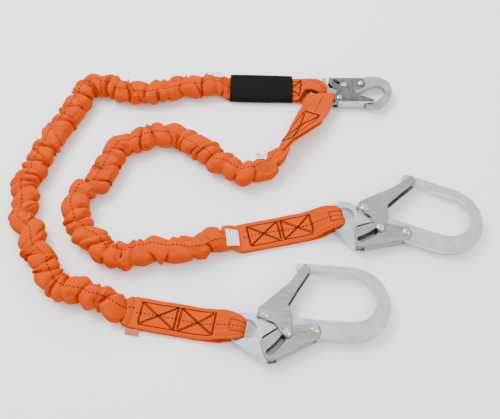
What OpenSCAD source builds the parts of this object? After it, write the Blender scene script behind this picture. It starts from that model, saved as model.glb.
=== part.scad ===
// Twin leg stretch lanyard: one double locking snap hook, two elastic webbing legs
// in gathered jackets, and two large gated hooks. Millimetres, Z up, flat on a floor.

/* [Webbing] */
// Width of the flat sewn webbing
strap_width = 48; // [46:0.5:49]
// Thickness of a sewn strap, two layers of tubular webbing
strap_thickness = 9; // [8.6:0.1:9.4]
// Wall of the webbing where it wraps a hook eye
loop_wall = 2.5; // [2:0.1:2.6]
// Thickness of the wear pad that lines each webbing loop
wear_pad = 1.2; // [1:0.1:1.2]
// Free space between a hook eye and the wear pad
loop_clearance = 0.5; // [0.4:0.1:0.7]
// Width of the elastic core inside a jacket
core_width = 24; // [20:1:26]
// Thickness of the elastic core
core_thickness = 4; // [3:0.5:4]
// Gap between the elastic core and the gathered webbing
core_gap = 0.4; // [0.2:0.1:0.6]

/* [Large gated hooks] */
// Thickness of the forged hook body
hook_thickness = 10; // [9.6:0.1:10]
// Radius of the hole in the hook eye
hook_eye_radius = 14.5; // [14:0.1:15]
// Outer radius of the hook eye
hook_eye_outer = 25; // [24.6:0.1:25]
// Inner radius of the hook bow
hook_bow_radius = 36; // [35:0.5:37]
// Radius of the hook rivets
hook_rivet = 4; // [3.6:0.1:4]
// How far the hook gate opens in degrees
hook_gate_opening = 50; // [45:1:50]

/* [Snap hook] */
// Thickness of the snap hook body
snap_thickness = 8; // [7.6:0.1:8]
// Radius of the hole in the snap eye
snap_eye_radius = 12.5; // [12:0.1:13]
// Outer radius of the snap eye
snap_eye_outer = 20.5; // [20:0.1:20.5]
// Inner radius of the snap hook bow
snap_bow_radius = 13.5; // [13:0.1:14]
// Radius of the snap hook rivets
snap_rivet = 3; // [2.8:0.1:3]
// How far the snap gate opens in degrees
snap_gate_opening = 30; // [26:1:30]

/* [Cover sleeve] */
// Length of the black cover sleeve
sleeve_length = 106; // [100:1:110]
// Width of the black cover sleeve
sleeve_width = 53; // [52.5:0.5:55]

/* [Fits] */
// Radial gap of a moving plate on its rivet
running_fit = 0.08; // [0.05:0.01:0.1]
// Gap between the lock pin and each side of its slot
slot_gap = 0.4; // [0.35:0.05:0.5]

/* [Hidden] */
round_faces = 96;
// How far each lock lever turns while its gate opens
hook_lever_turn = 12;
snap_lever_turn = 12;
// Shift that puts the middle of the whole footprint on the origin
row_shift = [-1.4, -1.3, 0];

// Hook places: eye centre x, y, height of the middle plane, turn about Z
hook_1_place = [5, -207, 12.5, -4];
hook_2_place = [155, -25.5, 12.5, -20.5];
snap_place = [131.5, 208.5, 13, 0];
// Direction from each eye along its strap
strap_1_turn = 170;
strap_2_turn = 192;
strap_1_length = 162;
strap_2_length = 160;
// Middle of each webbing loop on its eye, in the direction turned from +X
loop_1_turn = 171;
loop_2_turn = 184.5;
loop_3_turn = 160;
loop_4_turn = 243;

// Large hook pivots, in the hook's own plane, from the eye centre
hook_gate_axis = [25, 22];
hook_pin_axis = [57, -2];
hook_lever_axis = [96, 5.5];
// Middle of the round end of each bow
hook_bow_middle = [148, 56];
snap_bow_middle = [96.5, 11.7];
// Snap hook pivots
snap_gate_axis = [30.5, -5.3];
snap_pin_axis = [40.2, 22.3];
snap_lever_axis = [69.3, 27.7];

// Leg routes: x, y, z, half width, half height, flatness, tilt
leg_1_route = [
    [-24.6, 231, 7, 24, 4.5, 1, 0],
    [-36, 231, 12, 23, 11, 0.5, 0],
    [-53, 232.5, 17, 21.5, 16.5, 0, 0],
    [-83, 232, 17.5, 21.5, 17.5, 0, 0],
    [-116, 226, 17.5, 21.5, 17.5, 0, 0],
    [-150, 222, 17.5, 21.5, 17.5, 0, 0],
    [-177, 218, 17.5, 21.5, 17.5, 0, 0],
    [-202, 217, 17.5, 21.5, 17.5, 0, 0],
    [-226, 225, 17.5, 21.5, 17.5, 0, 0],
    [-250, 229, 17.5, 21.5, 17.5, 0, 0],
    [-271, 217, 17.5, 21.5, 17.5, 0, 0],
    [-284, 193, 17.5, 21.5, 17.5, 0, 0],
    [-297, 163, 17.5, 21.5, 17.5, 0, 0],
    [-311, 130, 17.5, 21.5, 17.5, 0, 0],
    [-326, 92, 17.5, 21.5, 17.5, 0, 0],
    [-336, 58, 17.5, 21.5, 17.5, 0, 0],
    [-341, 26, 17.5, 21.5, 17.5, 0, 0],
    [-338, -6, 17.5, 21.5, 17.5, 0, 0],
    [-329, -36, 17.5, 21.5, 17.5, 0, 0],
    [-316, -68, 17.5, 21.5, 17.5, 0, 0],
    [-302, -99, 17.5, 21.5, 17.5, 0, 0],
    [-285, -125, 17.5, 21.5, 17.5, 0, 0],
    [-265, -142, 17.5, 21.5, 17.5, 0, 0],
    [-242, -151, 17.5, 21.5, 17.5, 0, 0],
    [-219, -157, 17.5, 21.5, 17.5, 0, 0],
    [-199, -165, 17, 21.5, 17, 0, 0],
    [-182, -172, 14.5, 22, 14, 0.2, 0],
    [-167, -176.5, 8.8, 23.5, 8, 0.7, 0],
    [-155, -178.8, 4.5, 24, 4.5, 1, 0]
];
leg_2_route = [
    [63.6, 98.4, 21, 24, 4.5, 1, 42],
    [56.1, 86.8, 20.3, 22.5, 9, 0.5, 30],
    [47, 73, 18.8, 21.5, 15, 0.1, 12],
    [30, 61, 18, 21.5, 17.5, 0, 0],
    [5, 56, 17.5, 21.5, 17.5, 0, 0],
    [-19, 60, 17.5, 21.5, 17.5, 0, 0],
    [-38, 74, 17.5, 21.5, 17.5, 0, 0],
    [-53, 91, 17.5, 21.5, 17.5, 0, 0],
    [-70, 103, 17.5, 21.5, 17.5, 0, 0],
    [-91, 113, 17.5, 21.5, 17.5, 0, 0],
    [-114, 122, 17.5, 21.5, 17.5, 0, 0],
    [-137, 125, 17.5, 21.5, 17.5, 0, 0],
    [-160, 122, 17.5, 21.5, 17.5, 0, 0],
    [-183, 112, 17.5, 21.5, 17.5, 0, 0],
    [-202, 94, 17.5, 21.5, 17.5, 0, 0],
    [-214, 70, 17.5, 21.5, 17.5, 0, 0],
    [-224, 46, 17.5, 21.5, 17.5, 0, 0],
    [-238, 24, 17.5, 21.5, 17.5, 0, 0],
    [-252, 6, 17.5, 21.5, 17.5, 0, 0],
    [-258, -13, 17.5, 21.5, 17.5, 0, 0],
    [-253, -32, 17.5, 21.5, 17.5, 0, 0],
    [-241, -48, 17.5, 21.5, 17.5, 0, 0],
    [-228, -64, 17.5, 21.5, 17.5, 0, 0],
    [-215, -79, 17.5, 21.5, 17.5, 0, 0],
    [-198, -88, 17.5, 21.5, 17.5, 0, 0],
    [-178, -89, 17.5, 21.5, 17.5, 0, 0],
    [-156, -86, 17.5, 21.5, 17.5, 0, 0],
    [-134, -84, 17.5, 21.5, 17.5, 0, 0],
    [-110, -82, 17.5, 21.5, 17.5, 0, 0],
    [-85, -79, 17.5, 21.5, 17.5, 0, 0],
    [-58, -73, 17.5, 21.5, 17.5, 0, 0],
    [-33, -67, 15.5, 22, 15, 0.15, 0],
    [-15, -61.6, 8.5, 23.5, 8, 0.7, 0],
    [-2, -58.9, 4.5, 24, 4.5, 1, 0]
];
// Twisted strap between the snap hook and the second leg
twist_route = [
    [112.5, 175.6, 14, 20, 4.5, 1, 0],
    [104, 162, 16, 23, 4.5, 1, 12],
    [94, 146, 18, 24, 4.5, 1, 24],
    [83, 129, 19.5, 24, 4.5, 1, 34],
    [73, 113, 21, 24, 4.5, 1, 40],
    [64, 99, 21, 24, 4.5, 1, 42]
];

// Cross section tables in half widths and half heights
round_section = [for (i = [0:11]) [cos(i * 30), sin(i * 30)]];
flat_section = [
    [1, 0], [0.97, 0.8], [0.9, 1], [0, 1], [-0.9, 1], [-0.97, 0.8],
    [-1, 0], [-0.97, -0.8], [-0.9, -1], [0, -1], [0.9, -1], [0.97, -0.8]
];

// Sub-part to build, or all of them

// ---- Helper functions ----

function turned(point, angle) = [
    point[0] * cos(angle) - point[1] * sin(angle),
    point[0] * sin(angle) + point[1] * cos(angle)
];

// Point on a smooth curve through four rows, for the span between the middle two
function smooth_row(a, b, c, d, t) =
    0.5 * (2 * b + t * (c - a) + t * t * (2 * a - 5 * b + 4 * c - d)
        + t * t * t * (3 * b - a - 3 * c + d));

function smooth_rows(rows, steps) = [
    for (i = [0:len(rows) - 2])
        for (s = [0:steps - 1])
            smooth_row(rows[max(0, i - 1)], rows[i], rows[i + 1],
                rows[min(len(rows) - 1, i + 2)], s / steps),
    rows[len(rows) - 1]
];

function heading(rows, i) =
    let (a = rows[max(0, i - 1)], b = rows[min(len(rows) - 1, i + 1)])
    atan2(b[1] - a[1], b[0] - a[0]);

// Point of a swept section: u runs across the width, v up the height
function section_point(rows, i, u, v) =
    let (
        row = rows[i],
        side = heading(rows, i) + 90,
        across = [cos(side), sin(side), 0],
        tilt = row[6],
        wide = across * cos(tilt) + [0, 0, 1] * sin(tilt),
        high = [0, 0, 1] * cos(tilt) - across * sin(tilt)
    )
    [row[0], row[1], row[2]] + wide * u + high * v;

function section_ring(rows, i) = [
    for (k = [0:11])
        let (
            flat = rows[i][5],
            pair = round_section[k] * (1 - flat) + flat_section[k] * flat
        )
        section_point(rows, i, pair[0] * rows[i][3], pair[1] * rows[i][4])
];

function ring_sides(first, count, sides, flip) = [
    for (i = [0:count - 2])
        for (k = [0:sides - 1])
            let (
                a = first + i * sides + k,
                b = first + i * sides + (k + 1) % sides,
                c = b + sides,
                d = a + sides
            )
            for (face = flip ? [[a, b, c], [a, c, d]] : [[a, c, b], [a, d, c]]) face
];

// ---- Swept webbing ----

// The same route with the section of the core, grown by a gap on each side
function core_rows(rows, gap) = [
    for (row = rows)
        [row[0], row[1], row[2], core_width / 2 + gap, core_thickness / 2 + gap, 1, row[6]]
];

// Gathered jacket along a route, closed round the core
module gathered_jacket(rows) {
    count = len(rows);
    space = core_rows(rows, core_gap);
    outer = [for (i = [0:count - 1]) each section_ring(rows, i)];
    inner = [for (i = [0:count - 1]) each section_ring(space, i)];
    total = count * 12;
    last = total - 12;
    caps = [
        for (k = [0:11])
            let (n = (k + 1) % 12)
            for (face = [
                [k, n, total + n], [k, total + n, total + k],
                [last + n, last + k, total + last + k],
                [last + n, total + last + k, total + last + n]
            ]) face
    ];
    polyhedron(
        points = concat(outer, inner),
        faces = concat(
            ring_sides(0, count, 12, false),
            ring_sides(total, count, 12, true),
            caps
        )
    );
}

// Solid strip along a route
module swept_strip(rows) {
    count = len(rows);
    last = (count - 1) * 12;
    polyhedron(
        points = [for (i = [0:count - 1]) each section_ring(rows, i)],
        faces = concat(
            ring_sides(0, count, 12, false),
            [for (k = [1:10]) [0, k, k + 1]],
            [for (k = [1:10]) [last, last + k + 1, last + k]]
        )
    );
}

// Band round part of an eye, with the space for the eye left open inside it
module loop_band(inner, outer, height, bore_inner, bore_outer, bore_height, spread) {
    rotate([0, 0, -spread])
        rotate_extrude(angle = 2 * spread, $fn = round_faces)
            difference() {
                translate([inner, -height])
                    square([outer - inner, 2 * height]);
                translate([bore_inner, -bore_height])
                    square([bore_outer - bore_inner, 2 * bore_height]);
            }
}

// Webbing loop around an eye, opened along +X
module webbing_loop(eye_inner, eye_outer, half_thickness, spread) {
    gap = loop_clearance + wear_pad;
    wall = gap + loop_wall;
    loop_band(
        eye_inner - wall, eye_outer + wall, half_thickness + wall,
        eye_inner - gap, eye_outer + gap, half_thickness + gap, spread
    );
}

module loop_wear_pad(eye_inner, eye_outer, half_thickness, spread) {
    gap = loop_clearance;
    wall = gap + wear_pad;
    loop_band(
        eye_inner - wall, eye_outer + wall, half_thickness + wall,
        eye_inner - gap, eye_outer + gap, half_thickness + gap, spread
    );
}

// Space swept by the padded eye, taken out of the straps
module eye_space(eye_inner, eye_outer, half_thickness) {
    gap = loop_clearance + wear_pad;
    rotate_extrude($fn = round_faces)
        translate([eye_inner - gap, -half_thickness - gap])
            square([eye_outer - eye_inner + 2 * gap, 2 * (half_thickness + gap)]);
}

// Prism with one outline in plan and one in side view
module two_view_prism(plan, side, reach) {
    intersection() {
        translate([0, 0, -5])
            linear_extrude(height = 60)
                polygon(plan);
        rotate([90, 0, 0])
            linear_extrude(height = 2 * reach, center = true)
                polygon(side);
    }
}

// Flat sewn strap of a large hook, running out along +X from the eye
module hook_strap(length, middle, loop_turn) {
    half = strap_width / 2;
    // A little lower than the loop, so that no two faces lie in one plane
    rise = hook_thickness / 2 + loop_clearance + wear_pad + loop_wall - 0.4;
    difference() {
        union() {
            two_view_prism(
                [
                    [26, -11], [36, -16], [58, -half], [length, -half],
                    [length, half], [58, half], [36, 16], [26, 11]
                ],
                [
                    [26, middle - rise], [32, middle - rise], [60, 0], [length, 0],
                    [length, strap_thickness], [60, strap_thickness],
                    [32, middle + rise], [26, middle + rise]
                ],
                40
            );
            translate([0, 0, middle])
                rotate([0, 0, loop_turn])
                    webbing_loop(hook_eye_radius, hook_eye_outer, hook_thickness / 2, 28);
        }
        translate([0, 0, middle])
            eye_space(hook_eye_radius, hook_eye_outer, hook_thickness / 2);
    }
}

// One raised seam between two points of a flat strap
module flat_seam(start, finish, width, height) {
    span = finish - start;
    translate([start[0], start[1], 0])
        rotate([0, 0, atan2(span[1], span[0])])
            translate([-width / 2, -width / 2, 0])
                cube([norm(span) + width, width, height]);
}

// Double box and cross stitching on a flat strap
module flat_stitching(near, far, half, width, height) {
    middle = (near + far) / 2;
    flat_seam([near, -half], [far, -half], width, height);
    flat_seam([near, half], [far, half], width, height);
    for (x = [near, middle, far])
        flat_seam([x, -half], [x, half], width, height);
    for (pair = [[near, middle], [middle, far]]) {
        flat_seam([pair[0], -half], [pair[1], half], width, height);
        flat_seam([pair[0], half], [pair[1], -half], width, height);
    }
}

// Round thread path laid on the twisted strap
module twist_thread(rows, start, finish, lift) {
    steps = 6;
    points = [
        for (s = [0:steps])
            let (
                place = start[0] + (finish[0] - start[0]) * s / steps,
                across = start[1] + (finish[1] - start[1]) * s / steps,
                i = min(len(rows) - 2, floor(place)),
                t = place - i
            )
            section_point(rows, i, across, lift) * (1 - t)
                + section_point(rows, i + 1, across, lift) * t
    ];
    across_path = norm([finish[0] - start[0], 0]) > 0.01;
    ring = [for (p = points) each [
        p + [-0.4, 0.3, 0.3], p + [0.4, -0.3, 0.3], p + [0.4, -0.3, -0.3], p + [-0.4, 0.3, -0.3]
    ]];
    side_ring = [for (p = points) each [
        p + [0.3, 0.4, 0.3], p + [-0.3, -0.4, 0.3], p + [-0.3, -0.4, -0.3], p + [0.3, 0.4, -0.3]
    ]];
    end = steps * 4;
    polyhedron(
        points = across_path ? ring : side_ring,
        faces = concat(
            ring_sides(0, steps + 1, 4, across_path),
            across_path
                ? [[0, 2, 1], [0, 3, 2], [end, end + 1, end + 2], [end, end + 2, end + 3]]
                : [[0, 1, 2], [0, 2, 3], [end, end + 2, end + 1], [end, end + 3, end + 2]]
        )
    );
}

// ---- Large gated hook, eye centre at the origin, middle plane at zero ----

// Path of the lock pin in the lever's own plane while the gate opens
function pin_path(gate, pin, lever, opening, turn) = [
    for (s = [0:12])
        let (
            moved = gate + turned(pin - gate, opening * s / 12),
            back = lever + turned(moved - lever, -turn * s / 12)
        )
        back
];

function path_side(path, i) =
    let (
        a = path[max(0, i - 1)],
        b = path[min(len(path) - 1, i + 1)],
        step = (b - a) / norm(b - a)
    )
    [-step[1], step[0]];

// Curved slot that follows a path
module path_slot(path, half) {
    count = len(path);
    polygon(concat(
        [for (i = [0:count - 1]) path[i] + path_side(path, i) * (half - 0.05)],
        [for (i = [count - 1:-1:0]) path[i] - path_side(path, i) * (half - 0.05)]
    ));
    for (point = [path[0], path[count - 1]])
        translate(point)
            circle(r = half, $fn = 48);
}

// Space a lock pin sweeps through the body
module pin_sweep(gate, pin, opening, half) {
    reach = norm(pin - gate);
    start = atan2(pin[1] - gate[1], pin[0] - gate[0]);
    low = min(start, start + opening);
    high = max(start, start + opening);
    intersection() {
        translate(gate)
            difference() {
                circle(r = reach + half, $fn = round_faces);
                circle(r = reach - half, $fn = round_faces);
            }
        polygon([
            gate,
            for (s = [0:6])
                gate + turned([3 * reach, 0], low + (high - low) * s / 6)
        ]);
    }
    for (angle = [0, opening])
        translate(gate + turned(pin - gate, angle))
            circle(r = half, $fn = 48);
}

module both_sides(low, high) {
    for (side = [low, -high])
        translate([0, 0, side])
            linear_extrude(height = high - low)
                children();
}

module rivet(place, radius, reach, head_start, head_radius) {
    translate([place[0], place[1], 0]) {
        translate([0, 0, -reach])
            cylinder(h = 2 * reach, r = radius, $fn = 48);
        for (flip = [0, 180])
            rotate([flip, 0, 0])
                translate([0, 0, head_start])
                    domed_head(head_radius, reach - head_start);
    }
}

module domed_head(radius, height) {
    cylinder(h = height * 0.5, r = radius, $fn = 48);
    translate([0, 0, height * 0.5])
        cylinder(h = height * 0.5, r1 = radius, r2 = radius * 0.6, $fn = 48);
}

// Wire torsion spring lying flat, with one straight leg
module flat_coil(place, radius, wire, bottom, turns, leg_angle, leg_length) {
    steps = 16 * turns;
    pitch = wire * 1.08;
    coil = [
        for (s = [0:steps])
            [
                radius * cos(leg_angle + 270 - 360 * s / 16),
                radius * sin(leg_angle + 270 - 360 * s / 16),
                bottom + wire / 2 + pitch * turns * (1 - s / steps)
            ]
    ];
    leg_end = [
        radius * cos(leg_angle + 270) + leg_length * cos(leg_angle),
        radius * sin(leg_angle + 270) + leg_length * sin(leg_angle),
        bottom + wire / 2 + pitch * turns
    ];
    path = concat([leg_end], coil);
    count = len(path);
    points = [
        for (i = [0:count - 1])
            let (
                a = path[max(0, i - 1)],
                b = path[min(count - 1, i + 1)],
                turn = atan2(b[1] - a[1], b[0] - a[0]) + 90
            )
            for (k = [0:7])
                path[i] + [
                    cos(turn) * cos(k * 45) * wire / 2,
                    sin(turn) * cos(k * 45) * wire / 2,
                    sin(k * 45) * wire / 2
                ]
    ];
    last = (count - 1) * 8;
    translate([place[0], place[1], 0])
        polyhedron(
            points = points,
            faces = concat(
                ring_sides(0, count, 8, false),
                [for (k = [1:6]) [0, k, k + 1]],
                [for (k = [1:6]) [last, last + k + 1, last + k]]
            )
        );
}

module washer(place, inner, outer, low, high) {
    translate([place[0], place[1], low])
        difference() {
            cylinder(h = high - low, r = outer, $fn = round_faces);
            translate([0, 0, -1])
                cylinder(h = high - low + 2, r = inner, $fn = 48);
        }
}

module big_hook_outline() {
    difference() {
        union() {
            circle(r = hook_eye_outer, $fn = round_faces);
            polygon([
                [-14.3, -20.5], [24, -44], [30, -46], [33, -42], [27, -33], [22, -24],
                [22, -10], [40, 3], [68, 10], [70, 20.8], [40, 20.8], [0, 22]
            ]);
            translate(hook_gate_axis)
                circle(r = 8.5, $fn = round_faces);
            polygon([
                [40, 6], [62, -8], [146, -8], [170, 0], [162, 24], [148, 21], [124, 16],
                [108, 20], [64, 21], [40, 20.8]
            ]);
            difference() {
                translate([146, 48.5])
                    circle(r = 56.5, $fn = round_faces);
                translate([80, 20])
                    square([68, 72]);
            }
            polygon([
                [146, 105], [110, 105.8], [72, 106.8], [67, 104], [65.5, 99],
                [68, 95.2], [88, 94.6], [120, 93], [148, 91]
            ]);
        }
        circle(r = hook_eye_radius, $fn = round_faces);
        translate(hook_bow_middle)
            circle(r = hook_bow_radius, $fn = round_faces);
        translate(hook_gate_axis)
            circle(r = hook_rivet, $fn = 48);
        translate(hook_lever_axis)
            circle(r = hook_rivet, $fn = 48);
        pin_sweep(hook_gate_axis, hook_pin_axis, -hook_gate_opening, hook_rivet + 1.2);
        // Relief that leaves the pin an open way out between horn and shank
        polygon([[34, -14], [62, -10], [60, -30], [30, -34], [23, -24]]);
    }
}

module big_hook_body() {
    difference() {
        translate([0, 0, -hook_thickness / 2])
            linear_extrude(height = hook_thickness)
                big_hook_outline();
        // Pocket for the lever spring
        translate([hook_lever_axis[0], hook_lever_axis[1], hook_thickness / 2 - 2.6])
            difference() {
                cylinder(h = 4, r = 7.5, $fn = 48);
                translate([0, 0, -1])
                    cylinder(h = 6, r = hook_rivet + 0.7, $fn = 48);
            }
    }
}

module big_hook_gate() {
    outline = [
        [12.5, 18.5], [15, 31], [57, 73], [71, 93], [78.5, 104], [88, 96], [72, 68], [57, 39],
        [63, 20], [64, -7], [59, -11], [50, -6], [38, 10]
    ];
    difference() {
        union() {
            both_sides(7.8, 9.8)
                polygon(outline);
            translate([0, 0, -9.8])
                linear_extrude(height = 19.6)
                    polygon([[15, 31], [57, 73], [71, 93], [72.6, 91.8], [58.6, 71.8], [16.4, 29.6]]);
        }
        translate([hook_gate_axis[0], hook_gate_axis[1], -15])
            cylinder(h = 30, r = hook_rivet + running_fit, $fn = 48);
        translate([hook_pin_axis[0], hook_pin_axis[1], -15])
            cylinder(h = 30, r = hook_rivet, $fn = 48);
    }
}

module big_hook_lever() {
    outline = [
        [19, -17], [28, -40], [34, -45], [44, -42], [94, -12], [102, -7], [105, 3.6], [96.5, 14],
        [68, 9], [50, 7], [36, -3.4]
    ];
    difference() {
        union() {
            both_sides(5.5, 7.3)
                polygon(outline);
            translate([0, 0, -7.3])
                linear_extrude(height = 14.6)
                    polygon([[44, -42], [94, -12], [93, -10.5], [43, -40.5]]);
        }
        translate([0, 0, -15])
            linear_extrude(height = 30)
                path_slot(
                    pin_path(hook_gate_axis, hook_pin_axis, hook_lever_axis,
                        -hook_gate_opening, -hook_lever_turn),
                    hook_rivet + slot_gap
                );
        translate([hook_lever_axis[0], hook_lever_axis[1], -15])
            cylinder(h = 30, r = hook_rivet + running_fit, $fn = 48);
    }
}

// Rivets, spacer and springs of a large hook: reach of the rivet on each side,
// where its domed head starts, and the radius of the head
module big_hook_gate_pivot() {
    rivet(hook_gate_axis, hook_rivet, 12.3, 10.1, 5.6);
}

module big_hook_gate_spacer() {
    washer(hook_gate_axis, hook_rivet, 8, 5, 7.5);
}

module big_hook_lock_pin() {
    rivet(hook_pin_axis, hook_rivet, 12, 9.8, 5.6);
}

module big_hook_lever_pivot() {
    rivet(hook_lever_axis, hook_rivet, 9.8, 7.6, 5.6);
}

module big_hook_gate_spring() {
    mirror([0, 0, 1])
        flat_coil(hook_gate_axis, 6, 0.9, 5.4, 1, 45, 14);
}

module big_hook_lever_spring() {
    flat_coil(hook_lever_axis, 6.2, 0.8, 3.6, 1, 210, 1);
}

// ---- Snap hook, eye centre at the origin, middle plane at zero ----

module snap_layer() {
    translate([0, 0, -snap_thickness / 2])
        linear_extrude(height = snap_thickness)
            children();
}

module snap_cut() {
    translate([0, 0, -snap_thickness])
        linear_extrude(height = 2 * snap_thickness)
            children();
}

module snap_hook_body() {
    difference() {
        union() {
            snap_layer()
                circle(r = snap_eye_outer, $fn = round_faces);
            snap_layer()
                polygon([
                    [-8.8, 18], [3.4, 36], [5, 40.5], [9, 42], [10.5, 36], [12, 27],
                    [16, 18], [30, 18.8], [46, 14], [56, 20], [60, 34], [80, 43.5], [96, 44],
                    [98, 30], [92, 24.5], [80, 18.8], [64, 8.8], [44, -3], [37, -9.2],
                    [31, -11.9], [24, -12.1], [2.3, -20.2], [0, -14], [-7, 13]
                ]);
            translate([snap_lever_axis[0], snap_lever_axis[1], 0])
                snap_layer()
                    circle(r = 8.7, $fn = round_faces);
            snap_layer()
                polygon([
                    [92, 44], [104, 42.5], [114, 37], [120, 28], [122.5, 17], [121, 6],
                    [116, -4], [104, -17.5], [98, -22], [91, -23.4], [82, -21.5],
                    [76, -17.5], [77, -13.5], [86, -12.2], [92, -11.8], [104, -1],
                    [108, 5], [108, 12], [106, 19], [101, 22], [96.5, 23], [88, 26]
                ]);
        }
        snap_cut()
            circle(r = snap_eye_radius, $fn = round_faces);
        translate([snap_bow_middle[0], snap_bow_middle[1], 0])
            snap_cut()
                circle(r = snap_bow_radius, $fn = round_faces);
        for (place = [snap_gate_axis, snap_lever_axis])
            translate([place[0], place[1], 0])
                snap_cut()
                    circle(r = snap_rivet, $fn = 48);
        snap_cut()
            pin_sweep(snap_gate_axis, snap_pin_axis, snap_gate_opening, snap_rivet + 1.2);
        // Pocket for the lever spring
        translate([snap_lever_axis[0], snap_lever_axis[1], snap_thickness / 2 - 2.4])
            difference() {
                cylinder(h = 4, r = 6.3, $fn = 48);
                translate([0, 0, -1])
                    cylinder(h = 6, r = snap_rivet + 0.7, $fn = 48);
            }
    }
}

module snap_hook_gate() {
    difference() {
        union() {
            both_sides(6.8, 8.8)
                polygon([
                    [22, -14], [21.5, -6], [34, 30], [47, 27], [63, 1], [89, -10], [90, -13], [76, -14]
                ]);
            translate([0, 0, -8.8])
                linear_extrude(height = 17.6)
                    polygon([[28, -14], [73.5, -14], [73.5, -12.4], [28, -12.4]]);
        }
        translate([snap_gate_axis[0], snap_gate_axis[1], -15])
            cylinder(h = 30, r = snap_rivet + running_fit, $fn = 48);
        translate([snap_pin_axis[0], snap_pin_axis[1], -15])
            cylinder(h = 30, r = snap_rivet, $fn = 48);
    }
}

module snap_hook_lever() {
    difference() {
        union() {
            both_sides(4.4, 6.2)
                polygon([
                    [15, 39.5], [14, 30], [22, 18], [51, 14.4], [72, 19], [78, 25], [76, 35], [74, 39.5]
                ]);
            translate([0, 0, -6.2])
                linear_extrude(height = 12.4)
                    polygon([[15, 39.5], [62, 39.5], [62, 38], [15, 38]]);
        }
        translate([0, 0, -15])
            linear_extrude(height = 30)
                path_slot(
                    pin_path(snap_gate_axis, snap_pin_axis, snap_lever_axis,
                        snap_gate_opening, snap_lever_turn),
                    snap_rivet + slot_gap
                );
        translate([snap_lever_axis[0], snap_lever_axis[1], -15])
            cylinder(h = 30, r = snap_rivet + running_fit, $fn = 48);
    }
}

// ---- Placing ----

module at_place(place) {
    translate([place[0] + row_shift[0], place[1] + row_shift[1], place[2]])
        rotate([0, 0, place[3]])
            children();
}

// On the floor below an eye, turned along its strap
module at_strap(place, turn) {
    translate([place[0] + row_shift[0], place[1] + row_shift[1], 0])
        rotate([0, 0, turn])
            children();
}

// ---- Leg 1 ----

module leg_1_jacket() {
    color([1, 0.36, 0.08])
        translate(row_shift)
            gathered_jacket(smooth_rows(leg_1_route, 2));
}

module leg_1_elastic_core() {
    color([0.12, 0.12, 0.13])
        translate(row_shift)
            swept_strip(core_rows(smooth_rows(leg_1_route, 2), 0));
}

module leg_1_hook_strap() {
    color([1, 0.36, 0.08])
        at_strap(hook_1_place, strap_1_turn)
            hook_strap(strap_1_length, hook_1_place[2], loop_1_turn - strap_1_turn);
}

module leg_1_hook_wear_pad() {
    color([0.9, 0.3, 0.06])
        at_strap(hook_1_place, loop_1_turn)
            translate([0, 0, hook_1_place[2]])
                loop_wear_pad(hook_eye_radius, hook_eye_outer, hook_thickness / 2, 26);
}

module leg_1_hook_stitching() {
    color([0.08, 0.07, 0.07])
        at_strap(hook_1_place, strap_1_turn)
            translate([0, 0, strap_thickness])
                flat_stitching(72, 152, 17, 0.9, 0.4);
}

module leg_1_hook_label() {
    color([0.95, 0.55, 0.45])
        translate(row_shift)
            translate([-167, -210, 0.6])
                rotate([60, 0, -8])
                    cube([20, 12, 0.8]);
}

module leg_1_snap_strap() {
    color([1, 0.36, 0.08])
        at_strap(snap_place, 0)
            difference() {
                union() {
                    two_view_prism(
                        [
                            [-155.5, 46.5], [-30, 43.2], [-22, 39], [-18, 30], [-16.5, 14.5],
                            [-21.5, 0.5], [-29, -4], [-38, -4.6], [-155.5, -1.5]
                        ],
                        [
                            [-155.5, 2.5], [-31, 2.5], [-21, 4.5], [-16, 4.5], [-16, 21.5],
                            [-21, 21.5], [-31, 11.5], [-155.5, 11.5]
                        ],
                        60
                    );
                    translate([0, 0, snap_place[2]])
                        rotate([0, 0, loop_3_turn])
                            webbing_loop(snap_eye_radius, snap_eye_outer, snap_thickness / 2, 20);
                }
                translate([0, 0, snap_place[2]])
                    eye_space(snap_eye_radius, snap_eye_outer, snap_thickness / 2);
            }
}

module leg_1_snap_wear_pad() {
    color([0.9, 0.3, 0.06])
        at_strap(snap_place, loop_3_turn)
            translate([0, 0, snap_place[2]])
                loop_wear_pad(snap_eye_radius, snap_eye_outer, snap_thickness / 2, 18);
}

module leg_1_snap_stitching() {
    color([0.08, 0.07, 0.07])
        at_strap(snap_place, 0)
            translate([-101, 21.2, 11.5])
                rotate([0, 0, -1.5])
                    flat_stitching(-12, 68, 17, 0.9, 0.4);
}

module leg_1_snap_label() {
    color([0.95, 0.95, 0.93])
        translate(row_shift)
            translate([-62, 242, 33])
                rotate([-33, 0, 0])
                    cube([24, 16, 0.8]);
}

module cover_sleeve() {
    half = sleeve_width / 2;
    color([0.06, 0.06, 0.06])
        translate(row_shift)
            translate([30.5, 229.8, 7])
                rotate([0, 0, -1.5])
                    rotate([90, 0, 90])
                        linear_extrude(height = sleeve_length, center = true)
                            difference() {
                                polygon([
                                    [-half, -4], [-half + 3, -7], [half - 3, -7], [half, -4],
                                    [half, 4], [half - 3, 7], [-half + 3, 7], [-half, 4]
                                ]);
                                square([strap_width + 0.8, strap_thickness + 1.2], center = true);
                            }
}

// ---- Leg 2 ----

module leg_2_jacket() {
    color([1, 0.36, 0.08])
        translate(row_shift)
            gathered_jacket(smooth_rows(leg_2_route, 2));
}

module leg_2_elastic_core() {
    color([0.12, 0.12, 0.13])
        translate(row_shift)
            swept_strip(core_rows(smooth_rows(leg_2_route, 2), 0));
}

module leg_2_hook_strap() {
    color([1, 0.36, 0.08])
        at_strap(hook_2_place, strap_2_turn)
            hook_strap(strap_2_length, hook_2_place[2], loop_2_turn - strap_2_turn);
}

module leg_2_hook_wear_pad() {
    color([0.9, 0.3, 0.06])
        at_strap(hook_2_place, loop_2_turn)
            translate([0, 0, hook_2_place[2]])
                loop_wear_pad(hook_eye_radius, hook_eye_outer, hook_thickness / 2, 26);
}

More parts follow.
